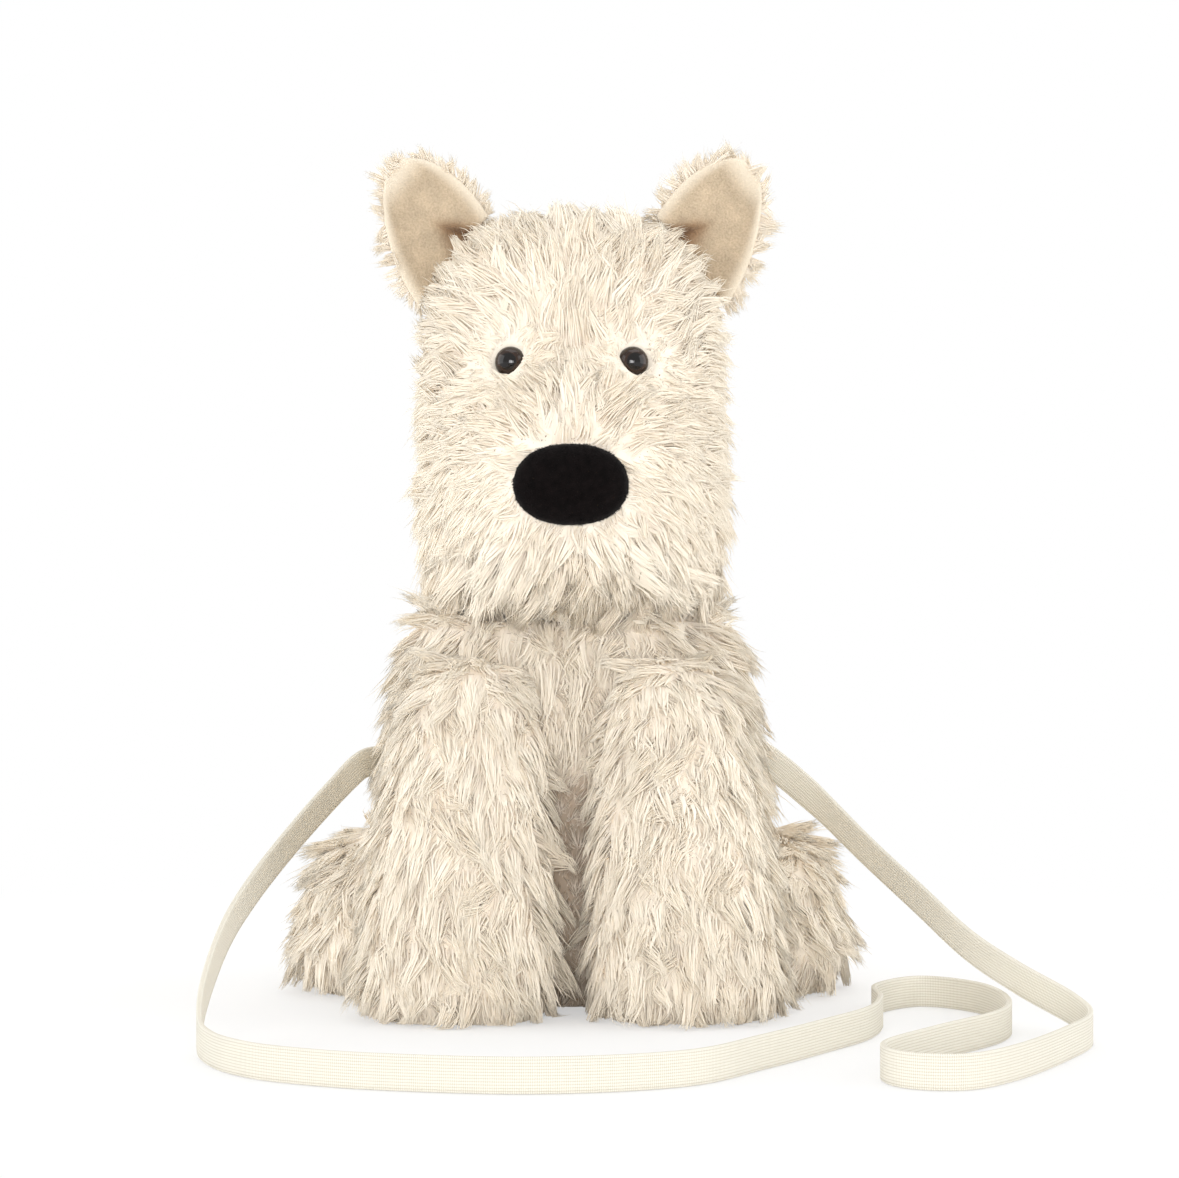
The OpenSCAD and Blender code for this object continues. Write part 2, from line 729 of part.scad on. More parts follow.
function ear_half(v, border) =
    mix(ear_tip_w, ear_w, pow(1 - pow(v, ear_side_curve), ear_tip_curve)) / 2 - border;

// A sheet from depth near to depth far, with an even border left round it
module ear_sheet(near, far, border, pinch = 1) {
    n = ear_grid;
    points = [for (y = [near, far], j = [0:n], i = [0:n])
        let (v = j / n, u = 2 * i / n - 1, half = ear_half(v, border),
             cup = ear_cup * mix(ear_root_cup, 1, v))
        [u * half - ear_lean * v,
         (j == 0 ? pinch : 1) * y - cup * u * u * half * 2 / ear_w,
         border + v * (ear_l - 2 * border)]];
    m = n + 1;
    back = m * m;
    rim = concat([for (i = [0:n - 1]) i], [for (j = [0:n - 1]) j * m + n],
                 [for (i = [0:n - 1]) n * m + n - i], [for (j = [0:n - 1]) (n - j) * m]);
    faces = concat(
        [for (j = [0:n - 1], i = [0:n - 1], half = [0, 1]) let (a = j * m + i)
            half == 0 ? [a, a + m, a + m + 1] : [a, a + m + 1, a + 1]],
        [for (j = [0:n - 1], i = [0:n - 1], half = [0, 1]) let (a = back + j * m + i)
            half == 0 ? [a, a + m + 1, a + m] : [a, a + 1, a + m + 1]],
        [for (k = [0:len(rim) - 1], half = [0, 1])
            let (a = rim[k], b = rim[(k + 1) % len(rim)])
            half == 0 ? [a, b, b + back] : [a, b + back, a + back]]);
    polyhedron(points, faces);
}

module ear_back(side) {
    color(fur) at_ear(side) ear_sheet(-ear_back_t / 2, ear_back_t / 2, 0, ear_pinch);
}
module ear_lining(side) {
    color(beige) at_ear(side)
        ear_sheet(-ear_back_t / 2 - close_fit - ear_lining_t, -ear_back_t / 2 - close_fit, ear_border);
}
module left_ear_back() ear_back(left);
module right_ear_back() ear_back(right);
module left_ear_lining() ear_lining(left);
module right_ear_lining() ear_lining(right);

// Front legs: columns that swell into paws, cut to lie against the chest
knee_w = (paw_w + upper_w) / 2;
knee_x = mix(leg_x, leg_top_x, 0.4);
knee_front = mix(paw_front, upper_front, 0.3);
// A paw stands this far in front of the middle of its sole, and a haunch this far outside it
paw_reach = 2;
haunch_out = 2;
front_leg_rows = domed(smooth([
    [0, leg_x, paw_w / 2 - paw_front + paw_reach, sole_w / 2, sole_w / 2],
    [paw_z, leg_x, paw_w / 2 - paw_front, paw_w / 2, paw_w / 2],
    [(paw_z + upper_z) / 2, knee_x, knee_w / 2 - knee_front, knee_w / 2, knee_w / 2],
    [upper_z, leg_top_x, upper_w / 2 - upper_front, upper_w / 2, upper_w / 2]], 3), leg_h, 2, 2);

// Hind legs: low haunches along the sides of the seat, whose thighs draw in and back
thigh_in = 2;
thigh_back = 2;
thigh_short = 4;
hind_x = hind_out - hind_w / 2;
hind_leg_rows = domed(smooth([
    [0, hind_x - haunch_out, hind_y, hind_sole_w / 2, hind_sole_l / 2],
    [hind_full_z, hind_x, hind_y, hind_w / 2, hind_l / 2],
    [thigh_z, hind_x - thigh_in, hind_y + thigh_back,
     hind_w / 2 - thigh_in, hind_l / 2 - thigh_short]], 3), hind_h, 3, 2);

module leg_inside(rows, by) {
    top = rows[len(rows) - 1][row_z];
    form(inset(rows, by, -past, top - by), small_sides, leg_sq);
}

module leg_cover(rows) {
    color(fur) one_skin() difference() {
        form(rows, small_sides, leg_sq);
        torso_form(seam_gap);
        difference() {
            leg_inside(rows, cover_t);
            torso_form(seam_gap + cover_t);
        }
    }
}

module leg_stuffing(rows) {
    color(wadding) one_skin() difference() {
        trimmed(panel_t + fill_gap, slab_r) leg_inside(rows, cover_t + fill_gap);
        torso_form(seam_gap + cover_t + fill_gap);
    }
}

module leg_sole(rows) {
    color(plain_cloth) one_skin() difference() {
        bottom_panel(rows, cover_t + fill_gap, small_sides, leg_sq);
        torso_form(seam_gap + cover_t + fill_gap);
    }
}

module left_front_leg_cover() leg_cover(front_leg_rows);
module left_front_leg_stuffing() leg_stuffing(front_leg_rows);
module left_front_sole() leg_sole(front_leg_rows);
module right_front_leg_cover() mirrored(right) leg_cover(front_leg_rows);
module right_front_leg_stuffing() mirrored(right) leg_stuffing(front_leg_rows);
module right_front_sole() mirrored(right) leg_sole(front_leg_rows);
module left_hind_leg_cover() leg_cover(hind_leg_rows);
module left_hind_leg_stuffing() leg_stuffing(hind_leg_rows);
module left_hind_sole() leg_sole(hind_leg_rows);
module right_hind_leg_cover() mirrored(right) leg_cover(hind_leg_rows);
module right_hind_leg_stuffing() mirrored(right) leg_stuffing(hind_leg_rows);
module right_hind_sole() mirrored(right) leg_sole(hind_leg_rows);

// Tail: a short cone with a round root, turning on its centre
tail_gap = 0.45;
tail_pivot =
    [0, torso_at(tail_z, row_y) + torso_at(tail_z, row_d) + tail_root_r + tail_gap, tail_z];

module at_tail() translate(tail_pivot) rotate([tail_rise - 90, 0, 0]) children();

// Outline of the tail between its axis and its skin, smaller by a wall
function tail_outline(wall) =
    let (root = tail_root_r - wall, tip = tail_tip_r - wall,
         tilt = asin((tail_root_r - tail_tip_r) / tail_l))
    concat([for (a = [-90:15:tilt]) [root * cos(a), root * sin(a)]],
           [for (a = [tilt:15:90]) [tip * cos(a), tail_l + tip * sin(a)]],
           [[0, tail_l + tip]]);

module tail_cover() {
    color(fur) at_tail() difference() {
        rotate_extrude($fn = round_fn) polygon(tail_outline(0));
        rotate_extrude($fn = round_fn) polygon(tail_outline(tail_t));
        translate([0, 0, -2 * tail_root_r])
            cylinder(r = tail_hole_r, h = 2 * tail_root_r, $fn = round_fn);
    }
}

module tail_stuffing() {
    color(wadding) at_tail()
        rotate_extrude($fn = round_fn) polygon(tail_outline(tail_t + fill_gap));
}

torso_cover();
torso_stuffing();
seat_panel();
pocket_lining();
zip_tape();
zip_teeth();
zip_stops();
zip_slider();
zip_pull();
left_strap_tab();
right_strap_tab();
strap_webbing();
neck_stuffing();
head_cover();
head_stuffing();
nose_pad();
left_eye();
right_eye();
left_eye_washer();
right_eye_washer();
left_ear_back();
right_ear_back();
left_ear_lining();
right_ear_lining();
left_front_leg_cover();
left_front_leg_stuffing();
left_front_sole();
right_front_leg_cover();
right_front_leg_stuffing();
right_front_sole();
left_hind_leg_cover();
left_hind_leg_stuffing();
left_hind_sole();
right_hind_leg_cover();
right_hind_leg_stuffing();
right_hind_sole();
tail_cover();
tail_stuffing();
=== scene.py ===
import json
import math

import bmesh
import bpy
import numpy as np
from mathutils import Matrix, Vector
from mathutils.bvhtree import BVHTree
from mathutils.kdtree import KDTree

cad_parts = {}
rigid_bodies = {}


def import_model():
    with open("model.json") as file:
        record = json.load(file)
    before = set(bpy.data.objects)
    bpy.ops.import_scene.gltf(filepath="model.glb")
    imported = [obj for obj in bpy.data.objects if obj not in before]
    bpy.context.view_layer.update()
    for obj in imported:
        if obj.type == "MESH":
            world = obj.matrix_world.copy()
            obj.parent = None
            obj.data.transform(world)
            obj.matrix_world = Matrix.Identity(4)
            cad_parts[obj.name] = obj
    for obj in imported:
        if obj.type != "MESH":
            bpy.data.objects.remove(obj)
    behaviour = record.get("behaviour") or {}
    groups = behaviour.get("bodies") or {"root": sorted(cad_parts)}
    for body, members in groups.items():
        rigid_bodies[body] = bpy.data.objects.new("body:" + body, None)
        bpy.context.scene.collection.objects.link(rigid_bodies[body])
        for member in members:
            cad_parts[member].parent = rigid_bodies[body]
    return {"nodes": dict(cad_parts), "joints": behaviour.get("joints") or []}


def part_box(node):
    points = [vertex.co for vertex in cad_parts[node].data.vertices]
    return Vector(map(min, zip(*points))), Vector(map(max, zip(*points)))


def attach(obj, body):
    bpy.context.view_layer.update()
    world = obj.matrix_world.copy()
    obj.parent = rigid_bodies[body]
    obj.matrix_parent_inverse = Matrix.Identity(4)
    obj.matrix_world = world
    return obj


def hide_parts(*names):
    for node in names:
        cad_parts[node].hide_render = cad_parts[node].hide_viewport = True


bl_info = {
    "name": "Plush terrier bag",
    "version": (1, 0, 0),
    "blender": (4, 5, 0),
    "location": "View3D > Sidebar > Plush",
    "description": "Dresses the packed plush terrier in pile, velour and webbing",
    "category": "Object",
}

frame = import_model()
NODES = frame["nodes"]
JOINTS = {j["name"]: j for j in frame["joints"]}
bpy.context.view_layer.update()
MM = 0.001

SIDES = {"left": 1, "right": -1}
LEGS = [f"{side}_{end}_leg" for end in ("front", "hind") for side in SIDES]

# Strap route in millimetres, as in the part's source
TAB_ROOT = (59.34, 20.1, 80.1)
TAB_HEADING = (0.85, -0.42, -0.32)
TAB_OUT = (6.0, 9.0)
STRAP_FLOOR = 5.2
ROUTE_RIGHT = [(-72, 7, 76), (-79, -4, 69), (-90, -30, 56), (-100, -64, 42), (-106, -92, 30),
               (-109, -118, 16), (-108, -138, 7)]
ROUTE_FLOOR = [(-103, -155), (-93, -173), (-78, -186), (-50, -198), (-8, -204), (32, -192),
               (55, -163), (76, -131), (90, -107), (96, -82), (97, -56), (113, -37), (130, -52),
               (135, -82), (129, -113), (106, -146), (88, -175), (91, -194), (108, -198),
               (125, -180), (144, -146), (155, -118)]
ROUTE_LEFT = [(153, -99, 8), (139, -80, 15), (126, -60, 23), (113, -35, 35), (99, -9, 48),
              (86, 9, 61), (76, 15, 70)]

# Points from one route point to the next, and pitch of the webbing's ribs in metres
ROUTE_STEPS = 10
WARP, WEFT = 0.00085, 0.0006

# Stuffed bodies: the CAD nodes that each skin stands for
STUFFED = {
    "torso": ("torso_cover", "torso_stuffing"),
    "neck": ("neck_stuffing",),
    "head": ("head_cover", "head_stuffing"),
    **{leg: (f"{leg}_cover", f"{leg}_stuffing") for leg in LEGS},
    "tail": ("tail_cover", "tail_stuffing"),
}
SKINS = {}

# Cloth panels that close the bodies from below
PANELS = {"seat_panel": "torso", **{leg.replace("_leg", "_sole"): leg for leg in LEGS}}

# Seeds of the random draws
PILE_SEED, EAR_SEED, NOSE_SEED = 400, 900, 77

# Voxels of the remeshed skins and nose, in metres
SKIN_VOXEL, NOSE_VOXEL = 0.0022, 0.001

# Tint and place from root to tip that the bare skins take from the pile's colours
SKIN_UV = (0.4, 0.3)
UV_MARGIN = 0.005

# A strand's root lies this deep in the skin, and its tip is this much narrower
ROOT_DEPTH = 0.4
TAPER, TAPER_POWER = 0.8, 1.6

# Strands that stray from their lock, and thicker ones at its core
STRAY_SHARE, STRAY_PULL, STRAY_JITTER, STRAY_WIDTH = 0.16, 0.35, 2.6, 0.65
CORE_SHARE, CORE_LENGTH, CORE_WIDTH = 0.2, 0.85, 1.8
JITTER = 0.045
GUIDE_STEPS = 16

# Least and most of a lock's and a strand's length and of a strand's width, as shares
LOCK_LENGTHS, STRAND_LENGTHS, STRAND_WIDTHS = (0.8, 1.2), (0.75, 1.08), (0.7, 1.25)

# How far a strand's pull may fall short of its coat's gathering, or pass it
PULL_LESS, PULL_MORE = 0.15, 0.12

# How the rings, the pull and the jitter grow along a strand
RING_POWER, PULL_POWER, JITTER_POWER = 0.92, 1.3, 1.4

# A lock's sideways wave, and the comb's slow swirls: radians, and millimetres from one to the next
WAVE_TURN, WAVE_SIZE = 4.5, 2
SWIRLS = ((0.45, 40.0), (0.40, 22.0), (0.35, 13.0))

# Tint of the pile and how much it changes by lock and by strand
TINT, LOCK_TINT, STRAND_TINT = 0.36, 0.16, 0.10

# Strands stay this far above the floor, in millimetres: at least, and more by chance
FLOOR_GAP, FLOOR_SPREAD = 0.35, 0.5

# Shading normals: from where a face takes on the skin's normal, and how far level pile bends out
LEAN = (-0.2, 0.6)
OUT_BEND = 1.5

# Pile stays this far from other bodies, so more strands are drawn than stay
BODY_GAP = 3.0
SPARE_STRANDS = 1.1

# Undercoat: its share of the strands, then their length, lift, width and gathering
UNDER_SHARE, UNDER_LENGTH, UNDER_LIFT = 0.42, 0.6, (30, 12)
UNDER_WIDTH, UNDER_GATHER = 1.7, 0.3

# Rings of a long and a short strand, and strands on each ear and on the nose
PILE_RINGS, SHORT_RINGS = 3, 2
EAR_STRANDS, NOSE_STRANDS = 4200, 5000

# Bare zone of the torso around the zip, in millimetres
ZIP_HALF, ZIP_LOW, ZIP_HIGH, ZIP_FRONT = 12.4, 50.4, 123.2, 20

# Where the pile changes over, in millimetres: ranges of height, depth or side
CHEEK_Z, BEARD_Z, CHIN_Z, RIM_Z = (188, 150), (160, 142), (156, 142), (146, 138)
CHIN_Y, REAR_Y, FACE_Y = (-20, -45), (-25, 30), (-30, 10)
CROWN_Z, CHEST_Z, TORSO_TOP_Z, PAW_Z = (212, 224), (80, 96), (116, 125), (14, 2)
LEG_GAP_X, LEG_GAP_Z = (26, 14), (90, 74)
NECK_LOW, NECK_HIGH, NECK_SEAT = 116, 146, 33

# Ear leaves in millimetres: length, lean of the tip, width at the tip and added at the root
EAR_LENGTH, EAR_LEAN, EAR_TIP, EAR_SPREAD = 35, 12, 7, 31

# The pile of an ear parts here, up from its root and inward
EAR_UP, EAR_IN = 13, 5

# Button eyes in metres and degrees
EYE_RADIUS, EYE_CUT, EYE_FLAT, EYE_TURN = 0.005, -0.0008, 0.88, 12

# Plain cloth and plastic: colours, pitch of the weave and rounded edges in metres
SOLE_COLOR, TAPE_COLOR = (0.78, 0.71, 0.58), (0.82, 0.75, 0.62)
TEETH_COLOR, WASHER_COLOR = (0.82, 0.76, 0.64), (0.80, 0.80, 0.77)
TAB_PITCH, SOLE_PITCH, TAPE_PITCH = 0.0008, 0.0009, 0.0007
TAB_EDGE, SOLE_EDGE = 0.0009, 0.0007

# Stage in metres: the floor turns white to the camera from near to far
FLOOR_SIZE = 14
WHITE_NEAR, WHITE_FAR, WHITE_LEAST = 0.12, 0.42, 0.5
WORLD_STRENGTH = 0.7
CAMERA_X, SENSOR, AIM = 0.0057, 36, (0, 0, 0.13)

# Lamps: the power they take, how much of it, their size and their place
LAMPS = {
    "key": ("key_power", 1.0, 0.5, (-0.16, -1.6, 0.24)),
    "fill": ("fill_power", 1.0, 0.5, (0.16, -1.6, 0.14)),
    "left": ("fill_power", 1.75, 1.4, (-1.4, -0.25, 0.5)),
    "right": ("fill_power", 1.75, 1.4, (1.4, -0.25, 0.5)),
    "top": ("fill_power", 1.2, 1.3, (0.1, 0.1, 1.6)),
    "rear": ("fill_power", 1.75, 1.3, (-0.2, 1.5, 0.5)),
}


class PileSettings(bpy.types.PropertyGroup):
    """Sizes and colours of the shaggy pile"""

    lock_spacing: bpy.props.FloatProperty(
        name="Lock spacing", description="Distance between two locks of pile",
        default=0.0054, unit="LENGTH")
    strand_width: bpy.props.FloatProperty(
        name="Strand width", description="Width of a strand at its root",
        default=0.00062, unit="LENGTH")
    strand_share: bpy.props.FloatProperty(
        name="Strand share", description="Share of the strands that are made",
        default=1.0, subtype="FACTOR")
    tip_color: bpy.props.FloatVectorProperty(
        name="Tip colour", description="Colour of the pile at its tips",
        default=(0.98, 0.905, 0.778), subtype="COLOR")
    # Roots a little darker than the tips: painted shade deep in the pile
    root_color: bpy.props.FloatVectorProperty(
        name="Root colour", description="Colour of the pile at its roots",
        default=(0.93, 0.845, 0.74), subtype="COLOR")
    # Painted shade: strands and skin on the chest between the front legs fade to this colour, and
    # every strand's very root takes a little of it
    painted_shade_color: bpy.props.FloatVectorProperty(
        name="Painted shade colour", description="Painted shade of the pile deep in its recesses",
        default=(0.26, 0.165, 0.09), subtype="COLOR")
    warm_color: bpy.props.FloatVectorProperty(
        name="Warm colour", description="Tips of the warmer strands",
        default=(0.96, 0.87, 0.735), subtype="COLOR")


class FaceSettings(bpy.types.PropertyGroup):
    """Colours of the eyes, the nose and the ear linings"""

    iris_color: bpy.props.FloatVectorProperty(
        name="Eye colour", description="Brown rim of the button eyes",
        default=(0.030, 0.014, 0.008), subtype="COLOR")
    pupil_color: bpy.props.FloatVectorProperty(
        name="Pupil colour", description="Dark middle of the button eyes",
        default=(0.004, 0.003, 0.003), subtype="COLOR")
    nose_color: bpy.props.FloatVectorProperty(
        name="Nose colour", description="Velour of the nose",
        default=(0.0035, 0.0022, 0.0022), subtype="COLOR")
    lining_color: bpy.props.FloatVectorProperty(
        name="Lining colour", description="Short pile inside the ears",
        default=(0.60, 0.48, 0.34), subtype="COLOR")


class StrapSettings(bpy.types.PropertyGroup):
    """Sizes and colour of the webbing strap"""

    width: bpy.props.FloatProperty(
        name="Width", description="Width of the webbing", default=0.010, unit="LENGTH")
    thickness: bpy.props.FloatProperty(
        name="Thickness", description="Thickness of the webbing", default=0.0016, unit="LENGTH")
    color: bpy.props.FloatVectorProperty(
        name="Colour", description="Colour of the webbing",
        default=(0.82, 0.795, 0.71), subtype="COLOR")


class StageSettings(bpy.types.PropertyGroup):
    """Camera, floor and lamps"""

    lens: bpy.props.FloatProperty(
        name="Lens", description="Focal length of the camera",
        default=90.38, unit="CAMERA")
    eye_height: bpy.props.FloatProperty(
        name="Camera height", description="Height of the camera", default=0.136, unit="LENGTH")
    distance: bpy.props.FloatProperty(
        name="Camera distance", description="Distance in front of the origin",
        default=1.0, unit="LENGTH")
    floor_color: bpy.props.FloatVectorProperty(
        name="Floor colour", description="Colour of the floor",
        default=(0.93, 0.93, 0.93), subtype="COLOR")
    key_power: bpy.props.FloatProperty(
        name="Key lamp", description="Power of the key lamp",
        default=6.2, unit="POWER")
    fill_power: bpy.props.FloatProperty(
        name="Fill lamp", description="Power of the fill lamps",
        default=4.8, unit="POWER")


# Small helpers

def unit(v):
    return v / np.maximum(np.linalg.norm(v, axis=-1, keepdims=True), 1e-9)


def along(v, n):
    """The part of v that lies in the surface with normal n, as a unit vector."""
    return unit(v - np.sum(v * n, axis=-1, keepdims=True) * n)


def ease(low, high, x):
    """0 at low, 1 at high and smooth between them."""
    t = np.clip((x - low) / (high - low), 0, 1)
    return t * t * (3 - 2 * t)


def deselect():
    bpy.ops.object.select_all(action="DESELECT")


def active():
    return bpy.context.view_layer.objects.active


def select(first, *others):
    """Selects objects alone and makes the first the active one."""
    deselect()
    for obj in (first, *others):
        obj.select_set(True)
    bpy.context.view_layer.objects.active = first


def edit_whole(act, **options):
    """Runs one edit-mode operator on the whole of the active mesh."""
    bpy.ops.object.mode_set(mode="EDIT")
    bpy.ops.mesh.select_all(action="SELECT")
    act(**options)
    bpy.ops.object.mode_set(mode="OBJECT")


def link_mesh(name, me):
    obj = bpy.data.objects.new(name, me)
    bpy.context.scene.collection.objects.link(obj)
    return obj


def finish_piece(obj, body, slot, material, *nodes):
    """Gives a piece its material and body, and hides the CAD nodes that it stands for. slot is not
    used.
    """
    obj.data.materials.clear()
    obj.data.materials.append(material)
    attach(obj, body)
    if nodes:
        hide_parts(*nodes)


def modify(obj, kind, **settings):
    """Adds a modifier and applies it."""
    select(obj)
    modifier = obj.modifiers.new(kind.lower(), kind)
    for key, value in settings.items():
        setattr(modifier, key, value)
    bpy.ops.object.modifier_apply(modifier=modifier.name)


def remesh(obj, voxel):
    obj.data.remesh_voxel_size = voxel
    bpy.ops.object.voxel_remesh()


def copy_of(name, nodes):
    """A free, merged copy of CAD nodes, as one object."""
    for n in nodes:
        NODES[n].hide_viewport = False
    select(*(NODES[n] for n in nodes))
    bpy.ops.object.duplicate()
    bpy.ops.object.parent_clear(type="CLEAR")
    if len(nodes) > 1:
        bpy.ops.object.join()
    obj = active()
    obj.name = obj.data.name = name
    for key in [k for k in obj.keys() if k.startswith("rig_")]:
        del obj[key]
    edit_whole(bpy.ops.mesh.remove_doubles, threshold=1e-6)
    return obj


def read(items, name, width, kind=float):
    """One value of each vertex, loop or triangle of a mesh, as an array."""
    out = np.empty(len(items) * width, kind)
    items.foreach_get(name, out)
    return out.reshape(-1, width)


def corners(me):
    """The vertex of each corner of a mesh's faces."""
    return read(me.loops, "vertex_index", 1, np.int32)[:, 0]


def mesh_arrays(obj):
    """A mesh's points in millimetres, their normals and its triangles."""
    me = obj.data
    me.calc_loop_triangles()
    return (read(me.vertices, "co", 3) / MM, read(me.vertices, "normal", 3),
            read(me.loop_triangles, "vertices", 3, np.int32))


# Materials

def feed(tree, node, socket, value):
    """Links another node's output to a socket, or sets its number or colour."""
    if isinstance(value, bpy.types.NodeSocket):
        tree.links.new(value, node.inputs[socket])
    else:
        node.inputs[socket].default_value = value


def add_node(tree, kind, feeds, **settings):
    node = tree.nodes.new(f"ShaderNode{kind}")
    for key, value in settings.items():
        setattr(node, key, value)
    for socket, value in feeds.items():
        feed(tree, node, socket, value)
    return node


def new_material(name, feeds):
    """A material whose shader has these sockets set."""
    mat = bpy.data.materials.new(name)
    mat.use_nodes = True
    shader = mat.node_tree.nodes["Principled BSDF"]
    for socket, value in feeds.items():
        feed(mat.node_tree, shader, socket, value)
    return mat, mat.node_tree, shader


def object_place(tree):
    return add_node(tree, "TexCoord", {}).outputs["Object"]


def uv_axes(tree):
    uv = add_node(tree, "TexCoord", {}).outputs["UV"]
    split = add_node(tree, "SeparateXYZ", {"Vector": uv})
    return split.outputs["X"], split.outputs["Y"]


def ramp(tree, factor, *stops):
    """Colours by their places along a factor."""
    node = add_node(tree, "ValToRGB", {"Fac": factor})
    while len(node.color_ramp.elements) < len(stops):
        node.color_ramp.elements.new(0.5)
    for e, (place, color) in zip(node.color_ramp.elements, stops):
        e.position = place
        e.color = (*color, 1)
    return node.outputs["Color"]


def noise(tree, vector, scale, detail=3.0):
    feeds = {"Vector": vector, "Scale": scale, "Detail": detail}
    return add_node(tree, "TexNoise", feeds).outputs["Fac"]


def bump(tree, shader, height, strength, distance):
    feeds = {"Height": height, "Strength": strength, "Distance": distance}
    feed(tree, shader, "Normal", add_node(tree, "Bump", feeds).outputs["Normal"])


def mixed(tree, blend, factor, first, second):
    feeds = {"Fac": factor, "Color1": first, "Color2": second}
    return add_node(tree, "MixRGB", feeds, blend_type=blend).outputs["Color"]


def calculate(tree, operation, *terms):
    return add_node(tree, "Math", dict(enumerate(terms)), operation=operation).outputs[0]


def white_to_camera(tree, plain, white, ray, output, share=None):
    """Shows white in place of plain to the camera and to one more kind of ray."""
    path = add_node(tree, "LightPath", {})
    seen = calculate(tree, "MAXIMUM", path.outputs["Is Camera Ray"], path.outputs[ray])
    if share is not None:
        seen = calculate(tree, "MULTIPLY", seen, share)
    mix = add_node(tree, "MixShader", {"Fac": seen, 1: plain.outputs[0], 2: white.outputs[0]})
    feed(tree, tree.nodes[output], "Surface", mix.outputs[0])


def pile_material():
    """Shaggy pile: darker at the roots, a painted shade deep in the pile, with paler and warmer
    strands.
    """
    s = bpy.context.scene.plush_pile
    mat, tree, shader = new_material("shaggy_pile", {
        "Roughness": 0.7, "Specular IOR Level": 0.25, "Sheen Weight": 0.5,
        "Sheen Roughness": 0.5, "Sheen Tint": (1.0, 0.93, 0.80, 1)})
    tint, place = uv_axes(tree)
    shade, root = np.array(s.painted_shade_color), np.array(s.root_color)
    # The ramp starts at the painted shade colour, for the very root and the recess between the
    # front legs, then runs through the roots' darker colour, painted shade deep in the pile, to
    # the tips
    pale, deep = (
        ramp(tree, place, (0.0, shade), (0.05, root), (0.4, (root + 3 * end) / 4), (stop, end))
        for end, stop in ((np.array(s.tip_color), 0.8), (np.array(s.warm_color), 0.85)))
    feed(tree, shader, "Base Color", mixed(tree, "MIX", tint, pale, deep))
    return mat


def velour_material():
    """Black velour: a cloudy tone and a fine nap."""
    mat, tree, shader = new_material("black_velour", {
        "Roughness": 0.95, "Specular IOR Level": 0.08, "Sheen Weight": 0.05})
    place = object_place(tree)
    tone = np.array(bpy.context.scene.plush_face.nose_color)
    feed(tree, shader, "Base Color",
         ramp(tree, noise(tree, place, 420.0), (0.3, tone * 0.6), (0.75, tone * 1.7)))
    bump(tree, shader, noise(tree, place, 2600.0), 0.7, 0.0004)
    return mat


def lining_material():
    """Short beige pile: a fine nap, a paler rim and painted shade in the pocket of the fold. UV x
    is how much painted shade the pocket takes and y the rim."""
    mat, tree, shader = new_material("ear_nap", {
        "Roughness": 0.9, "Specular IOR Level": 0.15, "Sheen Weight": 0.15})
    place = object_place(tree)
    depth, rim = uv_axes(tree)
    speck = noise(tree, place, 1500.0, 2.0)
    tone = np.array(bpy.context.scene.plush_face.lining_color)
    broad = ramp(tree, noise(tree, place, 160.0),
                 (0.3, tone * 0.88), (0.7, np.minimum(tone * 1.1, 1)))
    dots = ramp(tree, speck, (0.35, (0.72, 0.70, 0.68)), (0.65, (1, 1, 1)))
    # Painted shade: the pocket under the fold darkens to brown
    pocket = ramp(tree, depth, (0.0, (1, 1, 1)), (0.5, (0.66, 0.55, 0.47)),
                  (1.0, (0.30, 0.20, 0.14)))
    nap = mixed(tree, "MULTIPLY", 0.7, broad, dots)
    edged = mixed(tree, "MIX", rim, nap, (0.86, 0.77, 0.63, 1))
    feed(tree, shader, "Base Color", mixed(tree, "MULTIPLY", 1.0, edged, pocket))
    bump(tree, shader, speck, 0.8, 0.0006)
    return mat


def ribs(tree, run, pitch):
    """Rounded ribs along one UV axis, from 0 to 1."""
    turn = calculate(tree, "MULTIPLY", run, math.pi / pitch)
    return calculate(tree, "ABSOLUTE", calculate(tree, "SINE", turn))


def webbing_material(name, color, warp, weft):
    """Flat webbing: ribs along it and finer weft across it, darker in the grooves between them as
    a painted shade. UVs are in metres.
    """
    mat, tree, shader = new_material(name, {
        "Roughness": 0.75, "Specular IOR Level": 0.2, "Sheen Weight": 0.1})
    across, run = uv_axes(tree)
    weave = calculate(tree, "MULTIPLY", ribs(tree, across, warp), ribs(tree, run, weft))
    tone = np.array(color)
    # Painted shade: the colour darkens where the weave is low, in the grooves between the ribs,
    # and is a little paler on their crests
    feed(tree, shader, "Base Color",
         ramp(tree, weave, (0.0, tone * np.array((0.72, 0.68, 0.62))), (0.45, tone),
              (1.0, np.minimum(tone * 1.04, 1))))
    bump(tree, shader, weave, 0.45, 0.0003)
    return mat


def cloth_material(name, color, pitch):
    """Plain weave on Object coordinates."""
    mat, tree, shader = new_material(name, {"Roughness": 0.85})
    place = object_place(tree)
    tone = np.array(color)
    cells = add_node(tree, "TexChecker", {
        "Vector": place, "Scale": 1 / pitch, "Color1": (*(tone * 0.86), 1), "Color2": (*tone, 1)})
    cloud = noise(tree, place, 900.0)
    feed(tree, shader, "Base Color",
         mixed(tree, "MULTIPLY", 0.35, cells.outputs["Color"], cloud))
    bump(tree, shader, cells.outputs["Fac"], 0.5, 0.0002)
    return mat


def eye_material():
    """Polished button with a dark middle and a brown rim. UV x is the way out from its middle."""
    s = bpy.context.scene.plush_face
    mat, tree, shader = new_material("polished_eye", {"Roughness": 0.06})
    iris, pupil = np.array(s.iris_color), np.array(s.pupil_color)
    feed(tree, shader, "Base Color",
         ramp(tree, uv_axes(tree)[0], (0.0, pupil), (0.50, pupil), (0.60, iris),
              (0.82, iris * 0.7), (1.0, pupil)))
    return mat


